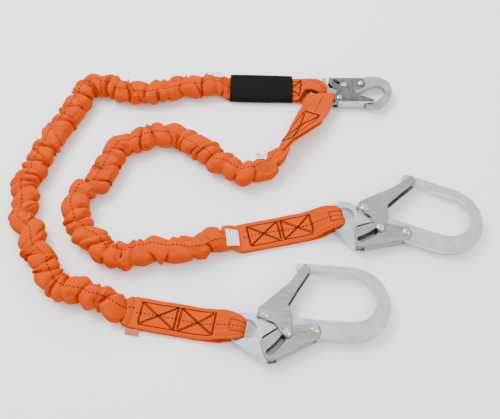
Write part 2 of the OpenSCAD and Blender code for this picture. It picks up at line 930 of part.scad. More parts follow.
module leg_2_hook_stitching() {
    color([0.08, 0.07, 0.07])
        at_strap(hook_2_place, strap_2_turn)
            translate([0, 0, strap_thickness])
                flat_stitching(68, 148, 17, 0.9, 0.4);
}

module leg_2_hook_label() {
    color([0.95, 0.95, 0.93])
        translate(row_shift)
            translate([-24, -79.5, 27.2])
                rotate([10, 38, 14])
                    cube([24, 28, 0.8]);
}

module leg_2_snap_strap() {
    color([1, 0.36, 0.08]) {
        at_strap(snap_place, 240)
            difference() {
                union() {
                    two_view_prism(
                        [[17, -10], [28, -13], [38, -20], [38, 20], [28, 13], [17, 10]],
                        [
                            [17, 4.5], [27, 4.5], [38, 9.5], [38, 18.5], [27, 21.5], [17, 21.5]
                        ],
                        30
                    );
                    translate([0, 0, snap_place[2]])
                        rotate([0, 0, loop_4_turn - 240])
                            webbing_loop(snap_eye_radius, snap_eye_outer, snap_thickness / 2, 28);
                }
                translate([0, 0, snap_place[2]])
                    eye_space(snap_eye_radius, snap_eye_outer, snap_thickness / 2);
            }
        translate(row_shift)
            swept_strip(smooth_rows(twist_route, 2));
    }
}

module leg_2_snap_wear_pad() {
    color([0.9, 0.3, 0.06])
        at_strap(snap_place, loop_4_turn)
            translate([0, 0, snap_place[2]])
                loop_wear_pad(snap_eye_radius, snap_eye_outer, snap_thickness / 2, 26);
}

module leg_2_snap_stitching() {
    rows = smooth_rows(twist_route, 2);
    color([0.08, 0.07, 0.07])
        translate(row_shift)
            for (seam = [
                [[3, -16], [8.5, -16]], [[3, 16], [8.5, 16]],
                [[3, -16], [8.5, 16]], [[3, 16], [8.5, -16]],
                [[3, -16], [3, 16]], [[8.5, -16], [8.5, 16]]
            ])
                twist_thread(rows, seam[0], seam[1], 5.1);
}

module leg_2_snap_label() {
    color([0.95, 0.95, 0.93])
        translate(row_shift)
            translate([18, 70.5, 37.2])
                rotate([-28, 0, -10])
                    cube([18, 14, 0.8]);
}

// ---- Large hooks ----

module hook_1_body() {
    color([0.72, 0.76, 0.8])
        at_place(hook_1_place)
            big_hook_body();
}

module hook_1_gate() {
    color([0.78, 0.78, 0.76])
        at_place(hook_1_place)
            big_hook_gate();
}

module hook_1_lock_lever() {
    color([0.78, 0.78, 0.76])
        at_place(hook_1_place)
            big_hook_lever();
}

module hook_1_gate_pivot() {
    color([0.85, 0.85, 0.84])
        at_place(hook_1_place)
            big_hook_gate_pivot();
}

module hook_1_gate_spacer() {
    color([0.6, 0.6, 0.6])
        at_place(hook_1_place)
            big_hook_gate_spacer();
}

module hook_1_lock_pin() {
    color([0.85, 0.85, 0.84])
        at_place(hook_1_place)
            big_hook_lock_pin();
}

module hook_1_lever_pivot() {
    color([0.85, 0.85, 0.84])
        at_place(hook_1_place)
            big_hook_lever_pivot();
}

module hook_1_gate_spring() {
    color([0.5, 0.5, 0.52])
        at_place(hook_1_place)
            big_hook_gate_spring();
}

module hook_1_lever_spring() {
    color([0.5, 0.5, 0.52])
        at_place(hook_1_place)
            big_hook_lever_spring();
}

module hook_2_body() {
    color([0.72, 0.76, 0.8])
        at_place(hook_2_place)
            big_hook_body();
}

module hook_2_gate() {
    color([0.78, 0.78, 0.76])
        at_place(hook_2_place)
            big_hook_gate();
}

module hook_2_lock_lever() {
    color([0.78, 0.78, 0.76])
        at_place(hook_2_place)
            big_hook_lever();
}

module hook_2_gate_pivot() {
    color([0.85, 0.85, 0.84])
        at_place(hook_2_place)
            big_hook_gate_pivot();
}

module hook_2_gate_spacer() {
    color([0.6, 0.6, 0.6])
        at_place(hook_2_place)
            big_hook_gate_spacer();
}

module hook_2_lock_pin() {
    color([0.85, 0.85, 0.84])
        at_place(hook_2_place)
            big_hook_lock_pin();
}

module hook_2_lever_pivot() {
    color([0.85, 0.85, 0.84])
        at_place(hook_2_place)
            big_hook_lever_pivot();
}

module hook_2_gate_spring() {
    color([0.5, 0.5, 0.52])
        at_place(hook_2_place)
            big_hook_gate_spring();
}

module hook_2_lever_spring() {
    color([0.5, 0.5, 0.52])
        at_place(hook_2_place)
            big_hook_lever_spring();
}

// ---- Snap hook ----

module snap_body() {
    color([0.7, 0.72, 0.74])
        at_place(snap_place)
            snap_hook_body();
}

module snap_gate() {
    color([0.45, 0.45, 0.46])
        at_place(snap_place)
            snap_hook_gate();
}

module snap_lock_lever() {
    color([0.45, 0.45, 0.46])
        at_place(snap_place)
            snap_hook_lever();
}

module snap_gate_pivot() {
    color([0.85, 0.85, 0.84])
        at_place(snap_place)
            rivet(snap_gate_axis, snap_rivet, 10.8, 9.1, 4.3);
}

module snap_gate_spacer() {
    color([0.6, 0.6, 0.6])
        at_place(snap_place)
            washer(snap_gate_axis, snap_rivet, 6.5, 4, 6.5);
}

module snap_lock_pin() {
    color([0.85, 0.85, 0.84])
        at_place(snap_place)
            rivet(snap_pin_axis, snap_rivet, 10.6, 8.8, 4.3);
}

module snap_lever_pivot() {
    color([0.85, 0.85, 0.84])
        at_place(snap_place)
            rivet(snap_lever_axis, snap_rivet, 8.4, 6.5, 4.3);
}

module snap_gate_spring() {
    color([0.5, 0.5, 0.52])
        at_place(snap_place)
            mirror([0, 0, 1])
                flat_coil(snap_gate_axis, 4.8, 0.9, 4.4, 1, 0, 12);
}

module snap_lever_spring() {
    color([0.5, 0.5, 0.52])
        at_place(snap_place)
            flat_coil(snap_lever_axis, 5, 0.7, 2.7, 1, 210, 0.8);
}

leg_1_jacket();
leg_1_elastic_core();
leg_1_hook_strap();
leg_1_snap_strap();
leg_1_hook_stitching();
leg_1_snap_stitching();
leg_1_hook_wear_pad();
leg_1_snap_wear_pad();
leg_1_hook_label();
leg_1_snap_label();
leg_2_jacket();
leg_2_elastic_core();
leg_2_hook_strap();
leg_2_snap_strap();
leg_2_hook_stitching();
leg_2_snap_stitching();
leg_2_hook_wear_pad();
leg_2_snap_wear_pad();
leg_2_hook_label();
leg_2_snap_label();
cover_sleeve();
hook_1_body();
hook_1_gate();
hook_1_lock_lever();
hook_1_gate_pivot();
hook_1_gate_spacer();
hook_1_lock_pin();
hook_1_lever_pivot();
hook_1_gate_spring();
hook_1_lever_spring();
hook_2_body();
hook_2_gate();
hook_2_lock_lever();
hook_2_gate_pivot();
hook_2_gate_spacer();
hook_2_lock_pin();
hook_2_lever_pivot();
hook_2_gate_spring();
hook_2_lever_spring();
snap_body();
snap_gate();
snap_lock_lever();
snap_gate_pivot();
snap_gate_spacer();
snap_lock_pin();
snap_lever_pivot();
snap_gate_spring();
snap_lever_spring();
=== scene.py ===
import math
import bpy
import numpy as np
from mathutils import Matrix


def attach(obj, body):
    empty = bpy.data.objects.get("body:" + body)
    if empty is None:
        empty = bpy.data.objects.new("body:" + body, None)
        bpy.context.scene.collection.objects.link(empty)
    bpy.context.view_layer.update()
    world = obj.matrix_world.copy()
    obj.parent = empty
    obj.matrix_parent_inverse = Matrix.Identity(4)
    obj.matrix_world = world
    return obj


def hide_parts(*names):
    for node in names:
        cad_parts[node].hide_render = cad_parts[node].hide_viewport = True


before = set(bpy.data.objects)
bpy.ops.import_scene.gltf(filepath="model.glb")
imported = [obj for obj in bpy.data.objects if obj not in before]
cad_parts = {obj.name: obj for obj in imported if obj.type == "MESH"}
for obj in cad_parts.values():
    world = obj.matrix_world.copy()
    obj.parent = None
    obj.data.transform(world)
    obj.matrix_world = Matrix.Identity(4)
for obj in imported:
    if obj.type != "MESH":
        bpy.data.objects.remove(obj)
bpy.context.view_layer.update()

MM = 0.001
SHIFT = np.array([-1.4, -1.3, 0.0])
RNG = np.random.default_rng(11)

# ---- Camera ----
cam_data = bpy.data.cameras.new("camera")
cam_data.lens = 48.24
cam_data.sensor_width = 36
cam_data.clip_end = 50
cam = bpy.data.objects.new("camera", cam_data)
bpy.context.scene.collection.objects.link(cam)
cam.location = (0.0086, -0.5321, 0.9116)
cam.rotation_euler = (math.radians(30), 0, 0)
bpy.context.scene.camera = cam


# ---- Numeric helpers, all in millimetres ----
def unit(v):
    v = np.asarray(v, float)
    return v / np.maximum(np.linalg.norm(v, axis=-1, keepdims=True), 1e-9)


def smooth_curve(rows, steps):
    """Smooth curve through the rows, with steps samples for each span."""
    rows = np.asarray(rows, float)
    out = []
    n = len(rows)
    for i in range(n - 1):
        a, b = rows[max(0, i - 1)], rows[i]
        c, d = rows[i + 1], rows[min(n - 1, i + 2)]
        for s in range(steps):
            t = s / steps
            out.append(0.5 * (2 * b + t * (c - a) + t * t * (2 * a - 5 * b + 4 * c - d)
                              + t ** 3 * (3 * b - a - 3 * c + d)))
    out.append(rows[-1])
    return np.array(out)


def arc_lengths(points):
    return np.concatenate([[0], np.cumsum(np.linalg.norm(np.diff(points, axis=0), axis=1))])


def resample(rows, step):
    """Rows spaced evenly along their first three columns."""
    s = arc_lengths(rows[:, :3])
    count = max(2, int(round(s[-1] / step)) + 1)
    t = np.linspace(0, s[-1], count)
    return np.stack([np.interp(t, s, rows[:, k]) for k in range(rows.shape[1])], axis=1), t


def tangents(points):
    return unit(np.gradient(points, axis=0))


def soft_noise(x, period, rng):
    """Smooth noise from -1 to 1 along x."""
    x = np.asarray(x, float)
    count = int(np.max(x) / period) + 4
    values = rng.uniform(-1, 1, count)
    i = np.clip((x / period).astype(int), 0, count - 2)
    t = x / period - i
    t = t * t * (3 - 2 * t)
    return values[i] * (1 - t) + values[i + 1] * t


def make_mesh(name, verts, faces, uvs=None, crease_shades=None, smooth=True):
    mesh = bpy.data.meshes.new(name)
    mesh.from_pydata((np.asarray(verts) * MM).tolist(), [], faces)
    mesh.validate()
    if smooth:
        mesh.polygons.foreach_set("use_smooth", [True] * len(mesh.polygons))
    if uvs is not None:
        layer = mesh.uv_layers.new(name="cloth")
        index = np.zeros(len(mesh.loops), int)
        mesh.loops.foreach_get("vertex_index", index)
        layer.data.foreach_set("uv", (np.asarray(uvs)[index] * MM).ravel().astype(np.float32))
    # Per-vertex painted shade for creases and pleat troughs, read by the webbing material
    if crease_shades is not None:
        layer = mesh.attributes.new("crease_shade", "FLOAT", "POINT")
        layer.data.foreach_set("value", np.asarray(crease_shades, np.float32))
    mesh.update()
    obj = bpy.data.objects.new(name, mesh)
    bpy.context.scene.collection.objects.link(obj)
    return obj


def grid_faces(rows, cols, start=0, flip=False):
    """Quads of a tube: rows of rings with cols points each."""
    faces = []
    for i in range(rows - 1):
        for j in range(cols):
            k = (j + 1) % cols
            quad = (start + i * cols + j, start + i * cols + k,
                    start + (i + 1) * cols + k, start + (i + 1) * cols + j)
            faces.append(quad[::-1] if flip else quad)
    return faces


# ---- Materials ----
def new_material(name):
    mat = bpy.data.materials.new(name)
    mat.use_nodes = True
    nodes, links = mat.node_tree.nodes, mat.node_tree.links
    return mat, nodes, links, nodes["Principled BSDF"]


def set_in(node, **values):
    for key, value in values.items():
        node.inputs[key.replace("_", " ")].default_value = value


def rgb(r, g, b):
    return (r, g, b, 1)


def webbing_material(name, bright, deep, weave=0.9, use_crease_shade=True):
    mat, nodes, links, bsdf = new_material(name)
    coords = nodes.new("ShaderNodeTexCoord")
    set_in(bsdf, Roughness=0.85, Specular_IOR_Level=0.04)
    mix = nodes.new("ShaderNodeMix")
    mix.data_type = "RGBA"
    mix.inputs["A"].default_value = bright
    mix.inputs["B"].default_value = deep
    noise = nodes.new("ShaderNodeTexNoise")
    set_in(noise, Scale=55.0, Detail=3.0)
    links.new(coords.outputs["Object"], noise.inputs["Vector"])
    # Painted shade: the crease attribute, plus a little noise, mixes the colour towards deep in creases and
    # pleat troughs; without it the noise alone varies the tone
    if use_crease_shade:
        crease_shade = nodes.new("ShaderNodeAttribute")
        crease_shade.attribute_name = "crease_shade"
        scaled = nodes.new("ShaderNodeMath")
        scaled.operation = "MULTIPLY_ADD"
        scaled.use_clamp = True
        scaled.inputs[1].default_value = 0.16
        scaled.inputs[2].default_value = -0.06
        links.new(noise.outputs["Fac"], scaled.inputs[0])
        total = nodes.new("ShaderNodeMath")
        total.operation = "ADD"
        total.use_clamp = True
        links.new(scaled.outputs[0], total.inputs[0])
        links.new(crease_shade.outputs["Fac"], total.inputs[1])
        links.new(total.outputs[0], mix.inputs["Factor"])
    else:
        scaled = nodes.new("ShaderNodeMath")
        scaled.operation = "MULTIPLY"
        scaled.inputs[1].default_value = 0.22
        links.new(noise.outputs["Fac"], scaled.inputs[0])
        links.new(scaled.outputs[0], mix.inputs["Factor"])
    links.new(mix.outputs["Result"], bsdf.inputs["Base Color"])
    # Fine cross ribs and a diagonal twill, from the cloth coordinates
    ribs = nodes.new("ShaderNodeTexWave")
    ribs.bands_direction = "X"
    set_in(ribs, Scale=290.0, Distortion=0.6, Detail=1.0)
    ribs_2 = nodes.new("ShaderNodeTexWave")
    ribs_2.bands_direction = "DIAGONAL"
    set_in(ribs_2, Scale=170.0, Distortion=0.4, Detail=1.0)
    both = nodes.new("ShaderNodeMath")
    both.operation = "ADD"
    for wave, socket in ((ribs, 0), (ribs_2, 1)):
        links.new(coords.outputs["UV"], wave.inputs["Vector"])
        links.new(wave.outputs["Fac"], both.inputs[socket])
    bump = nodes.new("ShaderNodeBump")
    set_in(bump, Strength=0.32 * weave, Distance=0.0003)
    links.new(both.outputs[0], bump.inputs["Height"])
    links.new(bump.outputs["Normal"], bsdf.inputs["Normal"])
    return mat


def plain_cloth(name, color, color_2, scale, rough, bump_size):
    mat, nodes, links, bsdf = new_material(name)
    coords = nodes.new("ShaderNodeTexCoord")
    noise = nodes.new("ShaderNodeTexNoise")
    set_in(noise, Scale=scale, Detail=4.0)
    links.new(coords.outputs["Object"], noise.inputs["Vector"])
    ramp = nodes.new("ShaderNodeValToRGB")
    ramp.color_ramp.elements[0].position = 0.3
    ramp.color_ramp.elements[0].color = color
    ramp.color_ramp.elements[1].position = 0.7
    ramp.color_ramp.elements[1].color = color_2
    links.new(noise.outputs["Fac"], ramp.inputs["Fac"])
    links.new(ramp.outputs["Color"], bsdf.inputs["Base Color"])
    set_in(bsdf, Roughness=rough, Specular_IOR_Level=0.12)
    bump = nodes.new("ShaderNodeBump")
    set_in(bump, Strength=0.35, Distance=bump_size)
    links.new(noise.outputs["Fac"], bump.inputs["Height"])
    links.new(bump.outputs["Normal"], bsdf.inputs["Normal"])
    return mat


def metal(name, color, color_2, rough, scale=40.0, stretch=(1, 1, 1), metallic=1.0, bump_size=0.00005,
          side=None):
    mat, nodes, links, bsdf = new_material(name)
    coords = nodes.new("ShaderNodeTexCoord")
    mapping = nodes.new("ShaderNodeMapping")
    mapping.inputs["Scale"].default_value = stretch
    noise = nodes.new("ShaderNodeTexNoise")
    set_in(noise, Scale=scale, Detail=5.0)
    links.new(coords.outputs["Object"], mapping.inputs["Vector"])
    links.new(mapping.outputs["Vector"], noise.inputs["Vector"])
    ramp = nodes.new("ShaderNodeValToRGB")
    ramp.color_ramp.elements[0].position = 0.32
    ramp.color_ramp.elements[0].color = color
    ramp.color_ramp.elements[1].position = 0.68
    ramp.color_ramp.elements[1].color = color_2
    links.new(noise.outputs["Fac"], ramp.inputs["Fac"])
    shown = ramp.outputs["Color"]
    # Painted highlight: faces turned sideways take the lighter side colour, faces turned up or down keep the
    # ramp colour
    if side is not None:
        facing = nodes.new("ShaderNodeNewGeometry")
        split = nodes.new("ShaderNodeSeparateXYZ")
        level = nodes.new("ShaderNodeMath")
        level.operation = "ABSOLUTE"
        side_highlight_mix = nodes.new("ShaderNodeMix")
        side_highlight_mix.data_type = "RGBA"
        side_highlight_mix.inputs["A"].default_value = side
        links.new(facing.outputs["Normal"], split.inputs[0])
        links.new(split.outputs["Z"], level.inputs[0])
        links.new(level.outputs[0], side_highlight_mix.inputs["Factor"])
        links.new(shown, side_highlight_mix.inputs["B"])
        shown = side_highlight_mix.outputs["Result"]
    links.new(shown, bsdf.inputs["Base Color"])
    rough_map = nodes.new("ShaderNodeMapRange")
    rough_map.inputs["To Min"].default_value = rough * 0.8
    rough_map.inputs["To Max"].default_value = rough * 1.25
    links.new(noise.outputs["Fac"], rough_map.inputs["Value"])
    links.new(rough_map.outputs["Result"], bsdf.inputs["Roughness"])
    set_in(bsdf, Metallic=metallic)
    bump = nodes.new("ShaderNodeBump")
    set_in(bump, Strength=0.25, Distance=bump_size)
    links.new(noise.outputs["Fac"], bump.inputs["Height"])
    links.new(bump.outputs["Normal"], bsdf.inputs["Normal"])
    return mat


ORANGE = rgb(0.53, 0.056, 0.0002)
# The deeper orange is painted shade, mixed into the gathered jacket along its creases
ORANGE_CREASE_SHADE = rgb(0.28, 0.006, 0.0002)
mat_jacket = webbing_material("gathered_webbing", ORANGE, ORANGE_CREASE_SHADE)
# The second orange of the flat webbing is painted shade in its pleat troughs and along its edges
mat_strap = webbing_material("flat_webbing", ORANGE, rgb(0.44, 0.036, 0.0002), 0.8)
mat_pad = webbing_material("wear_pad_webbing", rgb(0.34, 0.04, 0.0004), rgb(0.24, 0.02, 0.0004), 1.0, False)
mat_thread = plain_cloth("black_thread", rgb(0.003, 0.002, 0.002), rgb(0.007, 0.004, 0.004),
                         900.0, 0.7, 0.0001)
mat_sleeve = plain_cloth("black_cover", rgb(0.0018, 0.0016, 0.0016), rgb(0.004, 0.0035, 0.0035),
                         1400.0, 0.85, 0.0002)
mat_label = plain_cloth("white_label", rgb(0.66, 0.63, 0.62), rgb(0.76, 0.74, 0.73), 300.0, 0.7, 0.0001)
# White label under the strap: its salmon colour is painted orange bounce light and shade
mat_label_orange_bounce = plain_cloth("white_label_painted_bounce", rgb(0.5, 0.13, 0.09), rgb(0.58, 0.2, 0.14), 300.0, 0.7, 0.0001)
mat_elastic = plain_cloth("black_elastic", rgb(0.02, 0.02, 0.02), rgb(0.04, 0.04, 0.04), 900.0, 0.8, 0.0001)
mat_zinc = metal("zinc_body", rgb(0.48, 0.54, 0.58), rgb(0.60, 0.66, 0.70), 0.3, 60.0)
mat_gate = metal("gate_plate", rgb(0.32, 0.305, 0.28), rgb(0.43, 0.41, 0.38), 0.28, 30.0, (1, 6, 1))
# The snap plates get a painted highlight on their sideways faces
mat_snap_plate = metal("snap_plate", rgb(0.10, 0.10, 0.098), rgb(0.16, 0.158, 0.155), 0.26, 30.0, (6, 1, 1),
                       side=rgb(0.5, 0.5, 0.49))
mat_snap = metal("snap_steel", rgb(0.24, 0.26, 0.27), rgb(0.34, 0.36, 0.37), 0.3, 60.0)
mat_wire = metal("spring_wire", rgb(0.40, 0.40, 0.42), rgb(0.55, 0.55, 0.57), 0.3, 200.0)
mat_washer = metal("washer", rgb(0.45, 0.45, 0.45), rgb(0.6, 0.6, 0.6), 0.35, 80.0)
# Darker bevel materials: painted shade and dark reflection along the bevelled edges of the plates and bodies
mat_plate_edge_shade = metal("plate_edge_shade", rgb(0.05, 0.048, 0.045), rgb(0.09, 0.088, 0.085), 0.3, 60.0)
mat_body_edge_shade = metal("body_edge_shade", rgb(0.16, 0.18, 0.19), rgb(0.24, 0.26, 0.28), 0.3, 60.0)
mat_rivet = metal("rivet", rgb(0.5, 0.5, 0.5), rgb(0.66, 0.66, 0.66), 0.16, 80.0)


def finish_piece(obj, mat, slot_name, *nodes, body="legs"):
    obj.data.materials.clear()
    obj.data.materials.append(mat)
    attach(obj, body)
    if nodes:
        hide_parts(*nodes)
    return obj


# ---- Threads laid on a surface ----
def thread_mesh(name, runs, width=1.45, height=0.6):
    """Stitches as small raised bars. Each run is (points, normals) of one stitch."""
    verts, faces = [], []
    for points, normals in runs:
        points, normals = np.asarray(points, float), unit(normals)
        t = tangents(points)
        side = unit(np.cross(normals, t))
        n = len(points)
        base = len(verts)
        for i in range(n):
            taper = 0.55 if i in (0, n - 1) else 1.0
            w, h = width / 2 * taper, height * taper
            p = points[i]
            verts += [p - side[i] * w - normals[i] * 0.25, p - side[i] * w * 0.7 + normals[i] * h,
                      p + side[i] * w * 0.7 + normals[i] * h, p + side[i] * w - normals[i] * 0.25]
        faces += grid_faces(n, 4, base, True)
        faces += [(base, base + 1, base + 2, base + 3),
                  tuple(base + (n - 1) * 4 + k for k in (3, 2, 1, 0))]
    return make_mesh(name, verts, faces)


def dashes(points, normals, dash, gap, lead=0.0):
    """Cuts a path on a surface into stitches."""
    s = arc_lengths(points)
    runs = []
    at = lead
    while at + dash < s[-1]:
        t = np.linspace(at, at + dash, 5)
        runs.append((np.stack([np.interp(t, s, points[:, k]) for k in range(3)], 1),
                     np.stack([np.interp(t, s, normals[:, k]) for k in range(3)], 1)))
        at += dash + gap
    return runs


# ---- Gathered jackets ----
LEG_1 = [
    [-24.6, 233, 7, 24, 4.5, 0], [-36, 233.5, 12, 23, 11, 0], [-53, 235, 17, 21.5, 16.5, 0],
    [-83, 234, 17.5, 21.5, 17.5, 0], [-116, 227, 17.5, 21.5, 17.5, 0],
    [-150, 222, 17.5, 21.5, 17.5, 0], [-177, 218, 17.5, 21.5, 17.5, 0],
    [-202, 217, 17.5, 21.5, 17.5, 0], [-226, 225, 17.5, 21.5, 17.5, 0],
    [-250, 229, 17.5, 21.5, 17.5, 0], [-271, 217, 17.5, 21.5, 17.5, 0],
    [-284, 193, 17.5, 21.5, 17.5, 0], [-297, 163, 17.5, 21.5, 17.5, 0],
    [-311, 130, 17.5, 21.5, 17.5, 0], [-326, 92, 17.5, 21.5, 17.5, 0],
    [-336, 58, 17.5, 21.5, 17.5, 0], [-341, 26, 17.5, 21.5, 17.5, 0],
    [-338, -6, 17.5, 21.5, 17.5, 0], [-329, -36, 17.5, 21.5, 17.5, 0],
    [-316, -68, 17.5, 21.5, 17.5, 0], [-302, -99, 17.5, 21.5, 17.5, 0],
    [-285, -125, 17.5, 21.5, 17.5, 0], [-265, -142, 17.5, 21.5, 17.5, 0],
    [-242, -151, 17.5, 21.5, 17.5, 0], [-219, -157, 17.5, 21.5, 17.5, 0],
    [-199, -165, 17, 21.5, 17, 0], [-182, -172, 14.5, 22, 14, 0],
    [-167, -176.5, 8.8, 23.5, 8, 0], [-155, -178.8, 4.5, 24, 4.5, 0],
]
LEG_2 = [
    [63.6, 98.4, 21, 24, 4.5, 42], [56.1, 86.8, 20.3, 22.5, 9, 30], [47, 73, 18.8, 21.5, 15, 12],
    [30, 61, 18, 21.5, 17.5, 0], [5, 56, 17.5, 21.5, 17.5, 0], [-19, 60, 17.5, 21.5, 17.5, 0],
    [-38, 74, 17.5, 21.5, 17.5, 0], [-53, 91, 17.5, 21.5, 17.5, 0],
    [-70, 103, 17.5, 21.5, 17.5, 0], [-91, 113, 17.5, 21.5, 17.5, 0],
    [-114, 122, 17.5, 21.5, 17.5, 0], [-137, 125, 17.5, 21.5, 17.5, 0],
    [-160, 122, 17.5, 21.5, 17.5, 0], [-183, 112, 17.5, 21.5, 17.5, 0],
    [-202, 94, 17.5, 21.5, 17.5, 0], [-214, 70, 17.5, 21.5, 17.5, 0],
    [-224, 46, 17.5, 21.5, 17.5, 0], [-238, 24, 17.5, 21.5, 17.5, 0],
    [-252, 6, 17.5, 21.5, 17.5, 0], [-258, -13, 17.5, 21.5, 17.5, 0],
    [-253, -32, 17.5, 21.5, 17.5, 0], [-241, -48, 17.5, 21.5, 17.5, 0],
    [-228, -64, 17.5, 21.5, 17.5, 0], [-215, -79, 17.5, 21.5, 17.5, 0],
    [-198, -88, 17.5, 21.5, 17.5, 0], [-178, -89, 17.5, 21.5, 17.5, 0],
    [-156, -86, 17.5, 21.5, 17.5, 0], [-134, -84, 17.5, 21.5, 17.5, 0],
    [-110, -82, 17.5, 21.5, 17.5, 0], [-85, -79, 17.5, 21.5, 17.5, 0],
    [-58, -73, 17.5, 21.5, 17.5, 0], [-33, -67, 15.5, 22, 15, 0],
    [-15, -61.6, 8.5, 23.5, 8, 0], [-2, -58.9, 4.5, 24, 4.5, 0],
]
STEP = 3.2
GIRTH = 114.0
SIM_SCALE = 0.01


def flat_tube(cols):
    """Section of the flattened tube, centred, with its girth as woven."""
    theta = np.linspace(0, 2 * math.pi, cols, endpoint=False)
    c, s = np.cos(theta), np.sin(theta)
    section = np.stack([19.5 * np.sign(c) * np.abs(c) ** 0.8, 14 * np.sign(s) * np.abs(s) ** 0.8], 1)
    girth = np.linalg.norm(np.roll(section, -1, 0) - section, axis=1).sum()
    return theta, section * GIRTH / girth


def plain_object(name, verts, faces):
    mesh = bpy.data.meshes.new(name)
    mesh.from_pydata((np.asarray(verts) * SIM_SCALE).tolist(), [], faces)
    obj = bpy.data.objects.new(name, mesh)
    bpy.context.scene.collection.objects.link(obj)
    return obj


def gathered_cloth(length, seed, spacing, slant, frames):
    """Cloth simulation of a tube cut long and gathered on its core. The tube starts bunched,
    tucked in along random creases, and its full length pushes it out into puffs between them.
    spacing gives the least and most between creases at a place along the leg."""
    ratio = 1.75
    rng = np.random.default_rng(seed)
    cols = int(round(GIRTH / STEP))
    rings = int(round(length * ratio / STEP))
    theta, section = flat_tube(cols)
    c, s = np.cos(theta), np.sin(theta)
    creases = [0.0]
    while True:
        low, high = spacing(creases[-1] / length)
        gap = rng.uniform(low, high) if rng.random() > 0.25 else rng.uniform(high, high * 1.55)
        if creases[-1] + gap > length - low:
            break
        creases.append(creases[-1] + gap)
    creases = np.array(creases + [length])
    spans = np.diff(creases) * rng.uniform(0.85, 1.2, len(creases) - 1)
    woven = np.concatenate([[0], np.cumsum(spans)]) / spans.sum() * length * ratio
    skew = slant * rng.uniform(-1, 1, (2, len(creases))) * [[1.0], [0.55]]
    skew[:, [0, -1]] = 0
    along = np.linspace(0, length * ratio, rings)
    start = np.zeros((rings, cols, 3))
    rest = np.zeros((rings, cols, 3))
    rest[..., 0] = along[:, None]
    rest[..., 1:] = section[None]
    tucked = np.zeros((rings, cols), bool)
    centre = rng.uniform(0, 2 * math.pi, len(creases))
    reach = math.pi * rng.uniform(0.36, 0.8, len(creases))
    depth = rng.uniform(5, 12, len(creases))
    for j in range(cols):
        shift = skew[0] * c[j] + skew[1] * s[j]
        start[:, j, 0] = np.interp(along, woven + shift, creases + shift)
        u = np.interp(along, woven + shift, np.arange(len(creases)))
        puff = np.abs(np.sin(math.pi * u)) ** 0.7
        start[:, j, 1:] = section[j] * (0.75 + 0.32 * puff)[:, None]
        for k in range(1, len(creases) - 1):
            r = int(round((woven[k] + shift[k]) / (length * ratio) * (rings - 1)))
            away = abs((theta[j] - centre[k] + math.pi) % (2 * math.pi) - math.pi)
            if away < reach[k] and 0 < r < rings - 1:
                tucked[r, j] = True
                mix = min(1, (reach[k] - away) / 0.5)
                radius = depth[k] + 2 * math.cos(2 * theta[j] + centre[k])
                deep = section[j] / np.linalg.norm(section[j]) * radius
                place = section[j] * 0.85 * (1 - mix) + deep * mix
                start[r, j] = [creases[k] + shift[k], place[0], place[1]]
    start += rng.normal(0, 0.12, start.shape)
    tucked[[0, -1]] = True
    for grid in (start, rest):
        grid[..., 2] += 17.5
    tube = plain_object("gather", start.reshape(-1, 3), grid_faces(rings, cols))
    tube.shape_key_add(name="Basis")
    key = tube.shape_key_add(name="woven")
    key.data.foreach_set("co", (rest.reshape(-1, 3) * SIM_SCALE).ravel())
    group = tube.vertex_groups.new(name="tucked")
    group.add([int(v) for v in np.where(tucked.ravel())[0]], 1.0, "REPLACE")
    spare, wide = 50, 90
    floor_obj = plain_object("rest", [(-spare, -wide, 0), (length + spare, -wide, 0),
                                      (length + spare, wide, 0), (-spare, wide, 0)], [(0, 1, 2, 3)])
    ring = section * 0.45 + [0, 17]
    core_rows = np.linspace(0, length, 60)
    core = plain_object("core", [(x, y, z) for x in core_rows for y, z in ring], grid_faces(60, cols))
    for obj in (floor_obj, core):
        obj.modifiers.new("collide", "COLLISION")
        obj.collision.thickness_outer = 0.01
        obj.collision.cloth_friction = 5
    mod = tube.modifiers.new("cloth", "CLOTH")
    cloth, touch = mod.settings, mod.collision_settings
    cloth.quality = 5
    cloth.effector_weights.gravity = 0.15
    cloth.mass = 0.25
    cloth.tension_stiffness = cloth.compression_stiffness = 15
    cloth.shear_stiffness = 5
    cloth.bending_stiffness = 14
    cloth.tension_damping = cloth.compression_damping = cloth.shear_damping = 5
    cloth.bending_damping = 0.5
    cloth.air_damping = 3
    cloth.use_pressure = True
    cloth.uniform_pressure_force = 1.6
    cloth.vertex_group_mass = "tucked"
    cloth.rest_shape_key = key
    touch.use_collision = True
    touch.distance_min = 0.006
    touch.use_self_collision = True
    touch.self_distance_min = 0.010
    touch.self_friction = 2
    mod.point_cache.frame_start = 1
    mod.point_cache.frame_end = frames
    for f in range(1, frames + 1):
        bpy.context.scene.frame_set(f)
    shown = tube.evaluated_get(bpy.context.evaluated_depsgraph_get())
    out = np.zeros(rings * cols * 3)
    shown.data.vertices.foreach_get("co", out)
    for obj in (tube, floor_obj, core):
        bpy.data.objects.remove(obj)
    bpy.context.scene.frame_set(1)
    out = out.reshape(rings, cols, 3) / SIM_SCALE
    out[1:-1] = 0.4 * out[1:-1] + 0.15 * (
        out[2:] + out[:-2] + np.roll(out, 1, 1)[1:-1] + np.roll(out, -1, 1)[1:-1])
    return out


def finer(grid, times, closed):
    """Smooth subdivision of the first axis of a grid."""
    n = len(grid)
    pick = (lambda i: grid[i % n]) if closed else (lambda i: grid[min(max(i, 0), n - 1)])
    out = []
    for i in range(n if closed else n - 1):
        a, b, c, d = pick(i - 1), pick(i), pick(i + 1), pick(i + 2)
        for k in range(times):
            t = k / times
            out.append(0.5 * (2 * b + t * (c - a) + t * t * (2 * a - 5 * b + 4 * c - d)
                              + t ** 3 * (3 * b - a - 3 * c + d)))
    if not closed:
        out.append(grid[-1])
    return np.array(out)


